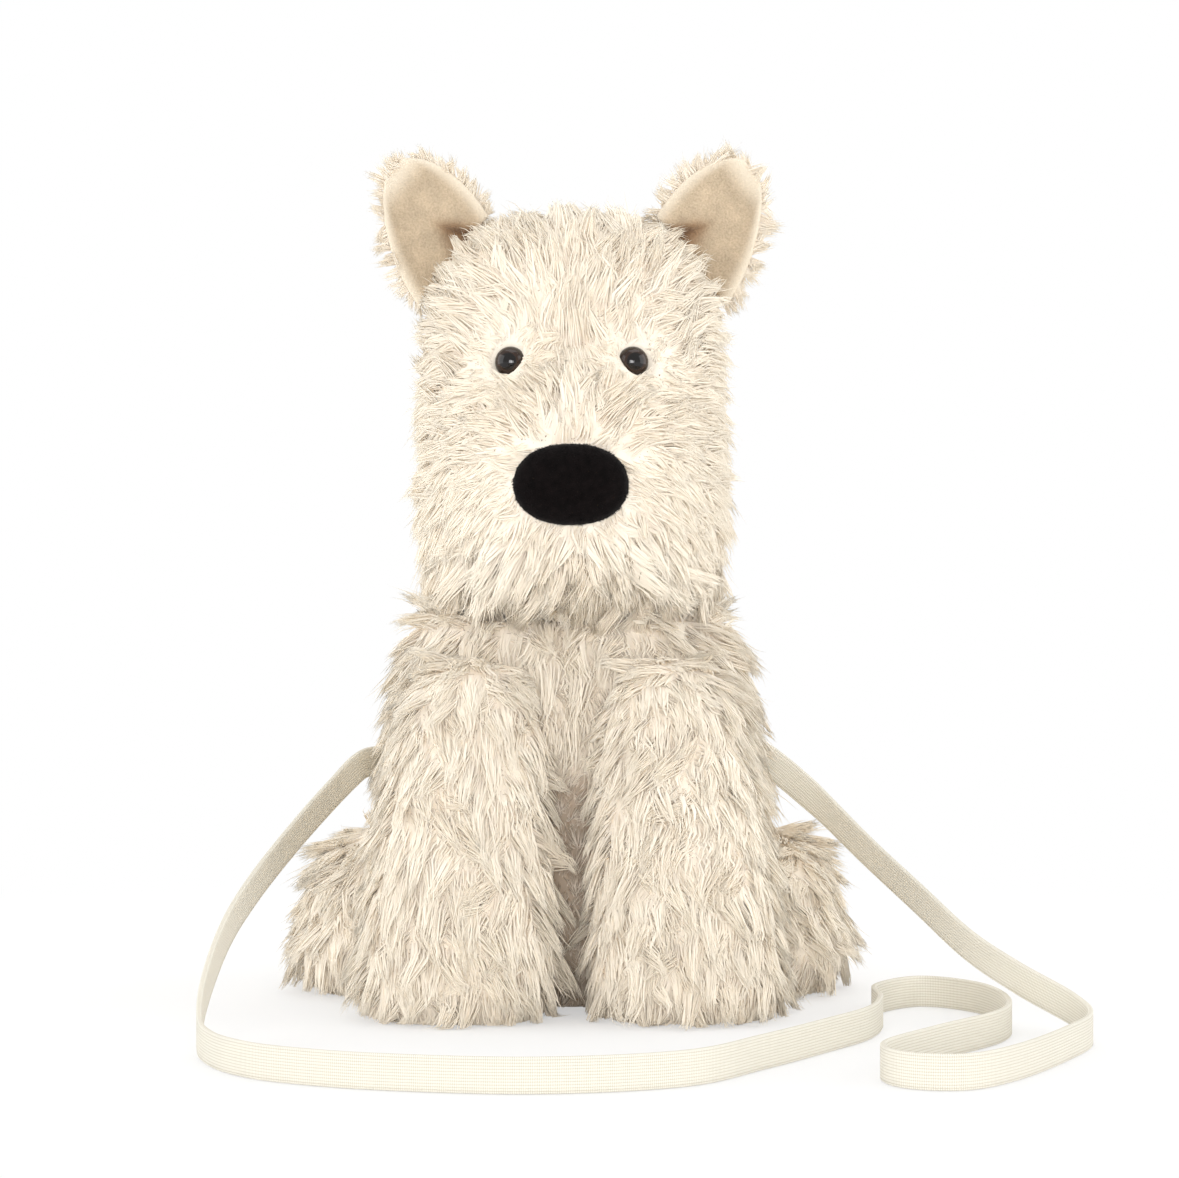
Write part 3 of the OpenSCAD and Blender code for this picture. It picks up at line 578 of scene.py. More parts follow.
def metal_material():
    """Plated metal with faint scuffs."""
    mat, tree, shader = new_material("plated_zip_metal", {"Metallic": 1.0})
    scuff = noise(tree, object_place(tree), 700.0)
    feed(tree, shader, "Roughness",
         ramp(tree, scuff, (0.3, (0.20, 0.20, 0.20)), (0.7, (0.38, 0.38, 0.38))))
    feed(tree, shader, "Base Color",
         ramp(tree, scuff, (0.3, (0.40, 0.39, 0.37)), (0.7, (0.50, 0.49, 0.46))))
    return mat


def plastic_material(name, color):
    """Moulded plastic with a slightly uneven face."""
    mat, tree, shader = new_material(name, {"Roughness": 0.45})
    cloud = noise(tree, object_place(tree), 500.0)
    tone = np.array(color)
    feed(tree, shader, "Base Color", ramp(tree, cloud, (0.3, tone * 0.93), (0.7, tone)))
    bump(tree, shader, cloud, 0.15, 0.0002)
    return mat


# Strands of pile

def strand_object(name, line, width, tint, grow, n, soft, fade):
    """Closed three-sided strands through the points line[strand, ring, xyz], in millimetres.
    grow holds each ring's place from root to tip. UV x is the strand's tint and y its place.
    soft is how far the shading normals lean to the skin's normal n, as light does in pile, and
    fade scales UV y, down to the painted shade of a recess."""
    count, rings = line.shape[0], line.shape[1] - 1
    way = unit(line[:, -1] - line[:, 0])
    across = np.where(np.abs(way[:, 2:3]) > 0.9, [[1.0, 0, 0]], [[0, 0, 1.0]])
    side = unit(np.cross(way, across))
    front = np.cross(way, side)
    angle = np.radians([90, 210, 330])
    spoke = (side[:, None] * np.cos(angle)[None, :, None]
             + front[:, None] * np.sin(angle)[None, :, None])
    radius = width[:, None] / 2 * (1 - TAPER * grow[None, :rings] ** TAPER_POWER)
    body = line[:, :rings, None] + spoke[:, None] * radius[:, :, None, None]
    each = rings * 3 + 1
    verts = np.concatenate([body.reshape(count, rings * 3, 3), line[:, rings:]], axis=1) * MM
    quads = np.array([[j * 3 + k, j * 3 + (k + 1) % 3, j * 3 + 3 + (k + 1) % 3, j * 3 + 3 + k]
                      for j in range(rings - 1) for k in range(3)])
    end = (rings - 1) * 3
    tris = np.array([[end + k, end + (k + 1) % 3, each - 1] for k in range(3)] + [[0, 2, 1]])
    one = np.concatenate([quads.ravel(), tris.ravel()])
    sizes = np.array([4] * len(quads) + [3] * len(tris))
    first = np.arange(count)[:, None] * each
    loops = (first + one[None]).ravel().astype(np.int32)
    total = np.tile(sizes, count)
    starts = np.concatenate([[0], np.cumsum(total)[:-1]]).astype(np.int32)
    place = np.concatenate([np.repeat(grow[:rings], 3), [1.0]])
    shift = np.concatenate([np.tile([-0.01, 0.0, 0.01], rings), [0.0]])
    uv = np.empty((count, len(one), 2), np.float32)
    uv[:, :, 0] = tint[:, None] + shift[one][None]
    uv[:, :, 1] = place[one][None] * fade[:, None]
    uv = np.clip(uv, UV_MARGIN, 1 - UV_MARGIN)
    me = bpy.data.meshes.new(name)
    me.vertices.add(count * each)
    me.vertices.foreach_set("co", verts.astype(np.float32).ravel())
    me.loops.add(len(loops))
    me.loops.foreach_set("vertex_index", loops)
    me.polygons.add(len(total))
    me.polygons.foreach_set("loop_start", starts)
    me.polygons.foreach_set("use_smooth", np.ones(len(total), bool))
    me.uv_layers.new(name="pile").data.foreach_set("uv", uv.ravel())
    me.update(calc_edges=True)
    own = np.concatenate([np.tile(spoke, (1, rings, 1)), way[:, None]], axis=1)
    lean = soft * ease(*LEAN, np.sum(own * n[:, None], axis=2))[:, :, None]
    faced = unit(lean * n[:, None] + (1 - lean) * own)
    me.normals_split_custom_set_from_vertices(faced.reshape(-1, 3))
    return link_mesh(name, me)


def scatter(skin, count, weight, rng):
    """Points and normals spread over a skin, denser where weight is larger."""
    co, no, tri = skin
    a, b, c = co[tri[:, 0]], co[tri[:, 1]], co[tri[:, 2]]
    cross = np.cross(b - a, c - a)
    share = np.linalg.norm(cross, axis=1) * weight((a + b + c) / 3, unit(cross))
    total = np.cumsum(share)
    pick = np.searchsorted(total, (np.arange(count) + rng.random(count)) / count * total[-1])
    pick = np.minimum(pick, len(tri) - 1)
    u, v = rng.random((2, count, 1))
    flip = u + v > 1
    u, v = np.where(flip, 1 - u, u), np.where(flip, 1 - v, v)
    p = a[pick] + u * (b[pick] - a[pick]) + v * (c[pick] - a[pick])
    n = [no[tri[pick, k]] for k in range(3)]
    return p, unit(n[0] + u * (n[1] - n[0]) + v * (n[2] - n[0]))


def spread(points, gap):
    """Indexes of points that are at least gap apart."""
    cells, kept = {}, []
    keys = np.floor(points / gap).astype(int)
    steps = [(i, j, k) for i in (-1, 0, 1) for j in (-1, 0, 1) for k in (-1, 0, 1)]
    for i, key in enumerate(map(tuple, keys)):
        around = ((key[0] + a, key[1] + b, key[2] + c) for a, b, c in steps)
        near = (points[i] - points[q] for cell in around for q in cells.get(cell, ()))
        if all(np.dot(d, d) >= gap * gap for d in near):
            cells.setdefault(key, []).append(i)
            kept.append(i)
    return np.array(kept)


def swirl(p, rng):
    """Slow change of the comb's angle over the pile, in radians."""
    angle = np.zeros(len(p))
    for size, reach in SWIRLS:
        ways = unit(rng.normal(size=(2, 3))) / reach * 2 * math.pi
        start = rng.random(2) * 2 * math.pi
        angle += size * np.sin(p @ ways[0] + start[0]) * np.cos(p @ ways[1] + start[1])
    return angle


def lock_guides(c, n, coat, rng, grow):
    """Each lock's path from its root c, as shares of its length, and that length."""
    way = along(coat["comb"](c, n), n)
    turn = swirl(c, rng) * coat["swirl"] + rng.normal(0, coat["scatter"], len(c))
    way = way * np.cos(turn)[:, None] + np.cross(n, way) * np.sin(turn)[:, None]
    side = np.cross(n, way)
    reach = coat["length"](c, n) * rng.uniform(*LOCK_LENGTHS, len(c))
    lie = coat["lie"](c, n)
    rise = rng.normal(0, coat["rise"], len(c))
    wave = rng.normal(0, coat["curl"], len(c))
    phase = rng.random(len(c)) * 2 * math.pi
    guide, at, k = np.zeros((len(c), len(grow), 3)), np.zeros((len(c), 3)), 1
    low, high = coat["lift"]
    for j in range(GUIDE_STEPS):
        t = (j + 0.5) / GUIDE_STEPS
        angle = np.radians((low + (high - low) * t + rise) * lie)
        d = (n * np.sin(angle)[:, None] + way * np.cos(angle)[:, None]
             + side * (wave * np.cos(t * WAVE_TURN + phase))[:, None] * WAVE_SIZE)
        d[:, 2] -= coat["droop"] * t
        at = at + unit(d) / GUIDE_STEPS
        while k < len(grow) and grow[k] <= (j + 1) / GUIDE_STEPS + 1e-9:
            guide[:, k] = at
            k += 1
    guide[:, -1] = at
    return guide, reach


def locks(name, p, n, coat, rng, rings, spacing=1.0, width=1.0, gather=0.88):
    """Strands that gather into curved, pointed locks. What coat doesn't say is as in
    PLAIN_COAT."""
    coat = {**PLAIN_COAT, **coat}
    s = bpy.context.scene.plush_pile
    heads = spread(p, s.lock_spacing / MM * spacing * coat["spacing"])
    c = p[heads]
    grow = np.linspace(0, 1, rings + 1) ** RING_POWER
    guide, reach = lock_guides(c, n[heads], coat, rng, grow)
    tree = KDTree(len(c))
    for i, q in enumerate(c):
        tree.insert(q, i)
    tree.balance()
    own = np.fromiter((tree.find(q)[1] for q in p), int, len(p))
    count = len(p)
    pull = rng.uniform(gather - PULL_LESS, min(gather + PULL_MORE, 1.0), count)
    stray = rng.random(count) < STRAY_SHARE
    pull[stray] *= STRAY_PULL
    core = ~stray & (rng.random(count) < CORE_SHARE)
    size = reach[own] * rng.uniform(*STRAND_LENGTHS, count) * np.where(core, CORE_LENGTH, 1.0)
    jitter = rng.normal(0, JITTER, (count, 3)) * np.where(stray, STRAY_JITTER, 1.0)[:, None]
    toward = (c[own] - p)[:, None] * (pull[:, None] * grow[None] ** PULL_POWER)[:, :, None]
    waver = jitter[:, None] * grow[None, :, None] ** JITTER_POWER
    line = (p[:, None] - ROOT_DEPTH * n[:, None] + toward
            + (guide[own] + waver) * size[:, None, None])
    floor = FLOOR_GAP + FLOOR_SPREAD * rng.random((count, 1))
    line[:, :, 2] = np.maximum(line[:, :, 2], floor)
    wide = s.strand_width / MM * width * rng.uniform(*STRAND_WIDTHS, count)
    wide *= np.where(core, CORE_WIDTH, 1.0) * np.where(stray, STRAY_WIDTH, 1.0)
    tone = (TINT + LOCK_TINT * rng.normal(size=len(c))[own]
            + STRAND_TINT * rng.normal(size=count))
    outward = unit(p * [1, 1, 0] + 1e-6) * np.abs(n[:, 2:]) * (1 - coat["level"])
    outward *= (1 - coat["crown"](p, n))[:, None]
    face = unit(n * [1, 1, coat["level"]] + OUT_BEND * outward)
    keep = coat["clear"](line)
    # Painted shade: strands in the recess between the front legs fade towards the shade colour
    fade = 1 - coat["recess"](p)
    return strand_object(name, line[keep], wide[keep], np.clip(tone, 0, 1)[keep], grow,
                         face[keep], coat["soft"], fade[keep])


def near_mask(p, others, gap):
    """True where a point lies at least gap millimetres from the other bodies' skins."""
    free = np.ones(len(p), bool)
    for tree in others:
        for i, q in enumerate(p):
            if free[i] and tree.find_nearest(Vector(q), gap)[0] is not None:
                free[i] = False
    return free


# Comb, length and place of the pile on each body, in millimetres

def centre_of(node):
    low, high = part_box(node)
    return np.array((low + high) / 2) / MM


def front_of(node):
    """The foremost point of a node."""
    return np.array(min((v.co for v in NODES[node].data.vertices), key=lambda c: c.y)) / MM


def joint_place(name):
    return np.array(JOINTS[name]["pos_m"]) / MM


NOSE = centre_of("nose_pad")
EYES = [front_of(f"{side}_eye") for side in SIDES]
EARS = [joint_place(f"{side}_ear_fold") for side in SIDES]


def from_eyes(p):
    """Distance to the nearer eye, and the way out from it."""
    gaps = np.stack([np.linalg.norm((p - e) * [1, 0.6, 1], axis=1) for e in EYES])
    near = np.argmin(gaps, axis=0)
    return gaps.min(0), p - np.array(EYES)[near]


def nose_reach(p):
    """1 on the nose's rim, more outside it."""
    low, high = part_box("nose_pad")
    half = np.array(high - low) / MM / 2
    return np.sqrt(((p[:, 0] - NOSE[0]) / half[0]) ** 2 + ((p[:, 2] - NOSE[2]) / half[2]) ** 2)


def head_weight(p, n):
    """Bare under the nose and the eyes, and densest around the eyes and on the chin."""
    w = np.where((n[:, 2] < -0.8) & (p[:, 1] > -40), 0.3, 1.0)
    on_nose = (p[:, 1] < -82) & (nose_reach(p) < 0.92)
    gap, _ = from_eyes(p)
    w = np.where(on_nose | (gap < 4.6), 0.0, w) * (1 + 0.9 * ease(16, 7, gap))
    chin = ease(*CHIN_Z, p[:, 2]) * ease(*CHIN_Y, p[:, 1])
    return w * np.where(p[:, 1] < -15, 1.25, 0.8) * (1 + 2.0 * chin)


def head_comb(p, n):
    """Out from the nose, down over the cheeks and the rear, and away from the eyes."""
    out = unit(p - (NOSE + [0, 6, 0]))
    fall = ease(*CHEEK_Z, p[:, 2])
    out[:, 2] -= 0.7 * fall + 0.3 * np.abs(n[:, 0])
    out[:, 0] += 0.5 * n[:, 0]
    rear = np.stack([p[:, 0] / 80, 0.25 + 0 * p[:, 0], -1 + 0 * p[:, 0]], 1)
    back = ease(*REAR_Y, p[:, 1])[:, None]
    d = out * (1 - back) + rear * back
    rim = ease(*RIM_Z, p[:, 2])[:, None]
    d = d * (1 - rim) + np.array([[0, 0, -1.0]]) * rim + n * [0.8, 0.8, 0] * rim
    gap, away = from_eyes(p)
    close = ease(17, 7, gap)[:, None]
    return d * (1 - 0.85 * close) + unit(away) * 1.2 * close


def off_eyes(line):
    """True for strands that leave the eyes free, but for their lower rim."""
    free = np.ones(len(line), bool)
    for e in EYES:
        gap = np.hypot((line[:, :, 0] - e[0]) / 4.7, (line[:, :, 2] - e[2] - 0.3) / 5.3)
        free &= ~((gap < 1) & (line[:, :, 1] < e[1] + 8)).any(1)
    return free


def head_lie(p, n):
    """Smooths the pile on the forehead and the cheeks, and lets the beard hang."""
    return 0.66 + 0.34 * ease(*FACE_Y, p[:, 1])


def head_crown(p, n):
    """1 on the flat top of the head."""
    return ease(0.45, 0.8, n[:, 2]) * ease(*CROWN_Z, p[:, 2])


def head_length(p, n):
    """Longest in the beard, and short around the eyes, the ears and the nose."""
    size = 15 + 11 * ease(*BEARD_Z, p[:, 2]) + 1.5 * ease(-10, 30, p[:, 1])
    gap, _ = from_eyes(p)
    size = size * (0.32 + 0.68 * ease(5, 20, gap))
    for e in EARS:
        size = size * (0.7 + 0.3 * ease(12, 26, np.linalg.norm(p - e, axis=1)))
    return size * (0.6 + 0.4 * ease(1.0, 1.9, nose_reach(p) + (p[:, 1] > -70) * 2))


def floor_weight(p, n):
    """Bare where a body sits on the floor."""
    return np.where((n[:, 2] < -0.7) & (p[:, 2] < 3), 0.0, 1.0)


def down_comb(p, n):
    """Down and a little forward."""
    return np.array([[0, -0.35, -1.0]]) + 0.3 * n


def facing_gap(p, n):
    """1 on the faces of the front legs that look at each other."""
    return ease(0.25, 0.8, -np.sign(p[:, 0]) * n[:, 0]) * ease(0, -20, p[:, 1])


def leg_weight(p, n):
    """Denser on top of the legs."""
    return floor_weight(p, n) * (1 + 0.8 * ease(0.3, 0.7, n[:, 2]))


def leg_length(p, n):
    """Shorter at the paws."""
    return 16.0 - 3.0 * ease(*PAW_Z, p[:, 2])


def leg_lie(p, n):
    """Stands the pile up where the front legs face each other."""
    return 1 + 0.3 * facing_gap(p, n) * ease(10, 40, p[:, 2])


def torso_weight(p, n):
    """Thin on the neck's seat, denser on the rim around it and bare at the zip."""
    w = floor_weight(p, n)
    w = np.where((p[:, 2] > 122) & (np.hypot(p[:, 0], p[:, 1]) < NECK_SEAT), 0.1, w)
    w = w * (1 + 0.8 * ease(114, 124, p[:, 2]))
    zipped = (np.abs(p[:, 0]) < ZIP_HALF) & (p[:, 1] > ZIP_FRONT)
    return np.where(zipped & (p[:, 2] > ZIP_LOW) & (p[:, 2] < ZIP_HIGH), 0.0, w)


def beside_zip(p, reach):
    """1 along the zip's sides, down to 0 at reach from its middle."""
    return ease(reach, 13, np.abs(p[:, 0])) * (p[:, 1] > ZIP_FRONT) * (p[:, 2] > 44)


def torso_comb(p, n):
    """Down, away from the zip and out from the neck."""
    d = np.array([[0, 0, -1.0]]) + 0.3 * n
    d[:, 0] += 0.9 * beside_zip(p, 30) * np.sign(p[:, 0])
    top = ease(*TORSO_TOP_Z, p[:, 2])
    d[:, :2] += p[:, :2] / 60 * top[:, None]
    d[:, 2] += 0.3 * top
    return d


def torso_lie(p, n):
    """Stands the pile up on the rim under the head, where it fills the neck."""
    return 1 + 1.5 * ease(0.5, 0.9, n[:, 2]) * ease(116, 123, p[:, 2])


def torso_length(p, n):
    """Longer on the chest, and short beside the zip and between the legs."""
    size = 15 + 6.0 * ease(0, -30, p[:, 1]) * ease(*CHEST_Z, p[:, 2])
    return size * (1 - 0.45 * beside_zip(p, 26)) * (1 - 0.6 * leg_gap(p))


def leg_gap(p):
    """1 on the chest between the front legs, where little light falls."""
    return ease(*LEG_GAP_X, np.abs(p[:, 0])) * (p[:, 1] < 0) * ease(*LEG_GAP_Z, p[:, 2])


def tail_comb(p, n):
    """Back and up, along the tail."""
    return np.array([[0, 0.75, 0.55]]) + 0.3 * unit(p - joint_place("tail_wag"))


def neck_weight(p, n):
    """Only where the neck shows between the torso and the head."""
    return np.where((p[:, 2] > NECK_LOW) & (p[:, 2] < NECK_HIGH), 1.0, 0.0)


def even(size):
    """One length or share everywhere."""
    return lambda p, n: np.full(len(p), float(size))


def shorter(coat):
    """The same coat as a short, flat undercoat."""
    return {**coat, "length": lambda p, n: UNDER_LENGTH * coat["length"](p, n),
            "lift": UNDER_LIFT}


# What a coat is where it says nothing else: how it droops, curls, swirls, scatters and rises,
# how far its normals lean to the skin, and how level they stay
PLAIN_COAT = {"droop": 0.25, "curl": 0.3, "swirl": 1.0, "scatter": 0.4, "rise": 13,
              "soft": 0.86, "level": 1.0, "spacing": 1.0, "lie": even(1), "crown": even(0),
              "recess": lambda p: np.zeros(len(p)), "clear": lambda line: np.ones(len(line), bool)}
BODY_COAT = {"pieces": 1, "scatter": 0.22, "swirl": 0.9, "rise": 9, "spacing": 1.2}
LEG_COAT = {**BODY_COAT, "weight": leg_weight, "comb": down_comb, "length": leg_length,
            "level": 0.5, "lift": (28, 14)}
COATS = {
    "head": {"count": 31000, "pieces": 3, "weight": head_weight, "comb": head_comb,
             "length": head_length, "lie": head_lie, "clear": off_eyes, "crown": head_crown,
             "scatter": 0.14, "swirl": 0.5, "rise": 8, "curl": 0.22, "level": 0.5,
             "lift": (44, 10)},
    "torso": {**BODY_COAT, "count": 20000, "pieces": 2, "weight": torso_weight,
              "comb": torso_comb, "length": torso_length, "lie": torso_lie,
              # recess paints shade on the chest between the front legs, where little light falls
              "recess": lambda p: 0.95 * leg_gap(p), "level": 0.3, "lift": (29, 14)},
    **{leg: {**LEG_COAT, "count": 12800, "lie": leg_lie} if "front" in leg
       else {**LEG_COAT, "count": 7000} for leg in LEGS},
    "tail": {"count": 2000, "pieces": 1, "weight": even(1), "comb": tail_comb,
             "length": even(12), "lift": (40, 5)},
    "neck": {"count": 2400, "pieces": 1, "weight": neck_weight, "comb": down_comb,
             "length": even(15), "level": 0.2, "lift": (70, 40)},
}


# Operators

class PLUSH_OT_stage(bpy.types.Operator):
    """Makes the floor, the white surround, the lamps and the camera"""

    bl_idname = "plush.stage"
    bl_label = "Stage"

    def execute(self, context):
        scene, s = context.scene, context.scene.plush_stage
        scene.view_settings.view_transform = "Standard"
        scene.cycles.diffuse_bounces = 8
        scene.cycles.max_bounces = 12
        self.floor(s)
        self.surround(scene)
        for name, (power, share, size, place) in LAMPS.items():
            bpy.ops.object.light_add(type="AREA", location=place)
            lamp = active()
            lamp.name = name
            lamp.data.energy = getattr(s, power) * share
            lamp.data.size = size
            aim = Vector(AIM) - Vector(place)
            lamp.rotation_euler = aim.to_track_quat("-Z", "Y").to_euler()
        bpy.ops.object.camera_add(location=(CAMERA_X, -s.distance, s.eye_height),
                                  rotation=(math.pi / 2, 0, 0))
        scene.camera = active()
        scene.camera.data.lens = s.lens
        scene.camera.data.sensor_width = SENSOR
        scene.camera.data.clip_start = 0.01
        return {"FINISHED"}

    @staticmethod
    def floor(s):
        """A pale floor that keeps the object's shadow and goes white further out."""
        deselect()
        bpy.ops.mesh.primitive_grid_add(x_subdivisions=8, y_subdivisions=8, size=FLOOR_SIZE)
        floor = active()
        floor.name = "floor"
        mat, tree, shader = new_material("pale_floor", {
            "Base Color": (*s.floor_color, 1), "Roughness": 0.9, "Specular IOR Level": 0.0})
        out = add_node(tree, "VectorMath", {0: object_place(tree)}, operation="LENGTH")
        fade = add_node(tree, "MapRange", {
            "Value": out.outputs["Value"], "From Min": WHITE_NEAR, "From Max": WHITE_FAR,
            "To Min": WHITE_LEAST}, interpolation_type="SMOOTHSTEP")
        white_to_camera(tree, shader, add_node(tree, "Emission", {}), "Is Glossy Ray",
                        "Material Output", fade.outputs["Result"])
        floor.data.materials.append(mat)

    @staticmethod
    def surround(scene):
        """Soft light from all around that looks white to the camera."""
        scene.world = bpy.data.worlds.new("studio")
        scene.world.use_nodes = True
        tree = scene.world.node_tree
        soft = tree.nodes["Background"]
        feed(tree, soft, "Color", (1.0, 0.99, 0.97, 1))
        feed(tree, soft, "Strength", WORLD_STRENGTH)
        white = add_node(tree, "Background", {"Color": (1, 1, 1, 1)})
        white_to_camera(tree, soft, white, "Is Transmission Ray", "World Output")


class PLUSH_OT_strap(bpy.types.Operator):
    """Lays the webbing strap along its route and rounds the edges of the anchor tabs"""

    bl_idname = "plush.strap"
    bl_label = "Strap"

    def execute(self, context):
        s = context.scene.plush_strap
        head = unit(np.array(TAB_HEADING))
        root = np.array(TAB_ROOT)
        flip = np.array([-1, 1, 1])
        ends = [root + d * head for d in TAB_OUT]
        route = np.array([*(e * flip for e in ends), *ROUTE_RIGHT,
                          *((x, y, STRAP_FLOOR) for x, y in ROUTE_FLOOR), *ROUTE_LEFT,
                          *reversed(ends)], float)
        path, tilt = self.smooth(route, ROUTE_STEPS)
        tilt[0], tilt[-1] = head * flip, -head
        tilt = unit(tilt)
        up = unit(np.array([[0, 0, 1.0]]) - tilt[:, 2:] * tilt)
        flat = np.cross(up, tilt)
        w, t = s.width / MM / 2, s.thickness / MM / 2
        outline = [(-w, -0.45 * t), (-w + 0.35 * t, -t), *((w * k / 5, -t) for k in (-3, 0, 3)),
                   (w - 0.35 * t, -t), (w, -0.45 * t), (w, 0.45 * t), (w - 0.35 * t, t),
                   *((w * k / 5, t) for k in (3, 0, -3)), (-w + 0.35 * t, t), (-w, 0.45 * t)]
        bm = bmesh.new()
        layer = bm.loops.layers.uv.new("weave")
        run = np.concatenate([[0], np.cumsum(np.linalg.norm(np.diff(path, axis=0), axis=1))])
        rows = [[bm.verts.new((path[i] + a * up[i] + b * flat[i]) * MM) for a, b in outline]
                for i in range(len(path))]
        m = len(outline)
        for i in range(len(path) - 1):
            for k in range(m):
                j = (k + 1) % m
                face = bm.faces.new((rows[i][k], rows[i][j], rows[i + 1][j], rows[i + 1][k]))
                face.smooth = True
                for loop, (r, o) in zip(face.loops, ((i, k), (i, j), (i + 1, j), (i + 1, k))):
                    loop[layer].uv = (outline[o][0] * MM, run[r] * MM)
        bm.faces.new(rows[0][::-1])
        bm.faces.new(rows[-1])
        bmesh.ops.recalc_face_normals(bm, faces=bm.faces)
        me = bpy.data.meshes.new("strap_webbing_ribbon")
        bm.to_mesh(me)
        bm.free()
        strap = link_mesh("strap_ribbon", me)
        web = webbing_material("ribbed_webbing", s.color, WARP, WEFT)
        finish_piece(strap, "torso", "webbing", web, "strap_webbing")
        for side in SIDES:
            tab = copy_of(f"{side}_tab_fold", (f"{side}_strap_tab",))
            modify(tab, "BEVEL", width=TAB_EDGE, segments=3)
            bpy.ops.object.shade_smooth()
            weave = cloth_material(f"{side}_tab_weave", s.color, TAB_PITCH)
            finish_piece(tab, "torso", "webbing", weave, f"{side}_strap_tab")
        return {"FINISHED"}

    @staticmethod
    def smooth(p, steps):
        """Points and directions on a smooth curve through p."""
        out, way = [], []
        n = len(p) - 1
        for i in range(n):
            a, b, c, d = p[max(i - 1, 0)], p[i], p[i + 1], p[min(i + 2, n)]
            for t in np.arange(steps) / steps:
                out.append(0.5 * (2 * b + (c - a) * t + (2 * a - 5 * b + 4 * c - d) * t * t
                                  + (3 * b - a - 3 * c + d) * t ** 3))
                way.append(0.5 * ((c - a) + 2 * (2 * a - 5 * b + 4 * c - d) * t
                                  + 3 * (3 * b - a - 3 * c + d) * t * t))
        return np.array(out + [p[-1]]), np.array(way + [p[-1] - p[-2]])


class PLUSH_OT_skins(bpy.types.Operator):
    """Makes the rounded stuffed skins that carry the pile"""

    bl_idname = "plush.skins"
    bl_label = "Skins"

    def execute(self, context):
        for body, nodes in STUFFED.items():
            panels = [panel for panel, owner in PANELS.items() if owner == body]
            skin = copy_of(f"{body}_skin", (*nodes, *panels))
            remesh(skin, SKIN_VOXEL)
            self.keep_outside(skin)
            modify(skin, "SMOOTH", factor=0.5, iterations=8)
            bpy.ops.object.shade_smooth()
            layer = skin.data.uv_layers.new(name="pile")
            uv = np.tile(SKIN_UV, (len(skin.data.loops), 1))
            # Painted shade: the skin between the front legs takes the shade colour
            if "recess" in COATS[body]:
                shade = COATS[body]["recess"](mesh_arrays(skin)[0])
                uv[:, 1] *= 1 - shade[corners(skin.data)]
            layer.data.foreach_set("uv", uv.ravel())
            SKINS[body] = skin
        return {"FINISHED"}

    @staticmethod
    def keep_outside(skin):
        """Deletes the hollows that the remesh left inside."""
        select(skin)
        bpy.ops.object.mode_set(mode="EDIT")
        bpy.ops.mesh.select_all(action="DESELECT")
        bpy.ops.object.mode_set(mode="OBJECT")
        max(skin.data.vertices, key=lambda v: v.co.x).select = True
        bpy.ops.object.mode_set(mode="EDIT")
        bpy.ops.mesh.select_linked()
        bpy.ops.mesh.select_all(action="INVERT")
        bpy.ops.mesh.delete(type="VERT")
        bpy.ops.object.mode_set(mode="OBJECT")


class PLUSH_OT_pile(bpy.types.Operator):
    """Grows the shaggy locks and the short undercoat on every stuffed body"""

    bl_idname = "plush.pile"
    bl_label = "Pile"

    def execute(self, context):
        share = context.scene.plush_pile.strand_share
        pile = pile_material()
        arrays = {b: mesh_arrays(o) for b, o in SKINS.items()}
        trees = {b: BVHTree.FromPolygons([Vector(v) for v in co], tri.tolist())
                 for b, (co, _, tri) in arrays.items()}
        for number, (body, coat) in enumerate(COATS.items()):
            count, weight, pieces = coat["count"], coat["weight"], coat["pieces"]
            rng = np.random.default_rng(PILE_SEED + number)
            p, n = scatter(arrays[body], int(count * share * SPARE_STRANDS), weight, rng)
            free = near_mask(p, [t for b, t in trees.items() if b != body], BODY_GAP)
            p, n = p[free], n[free]
            part = np.minimum((np.argsort(np.argsort(p[:, 1])) * pieces) // len(p), pieces - 1)
            for k in range(pieces):
                name = f"{body}_pile_{k + 1}" if pieces > 1 else f"{body}_pile"
                fur = locks(name, p[part == k], n[part == k], coat, rng, PILE_RINGS)
                finish_piece(fur, body, "fur", pile)
            p, n = scatter(arrays[body], int(count * share * UNDER_SHARE), weight, rng)
            under = locks(f"{body}_under", p, n, shorter(coat), rng, SHORT_RINGS,
                          width=UNDER_WIDTH, gather=UNDER_GATHER)
            select(SKINS[body], under)
            bpy.ops.object.join()
            finish_piece(SKINS[body], body, "fur", pile, *STUFFED[body])
        return {"FINISHED"}


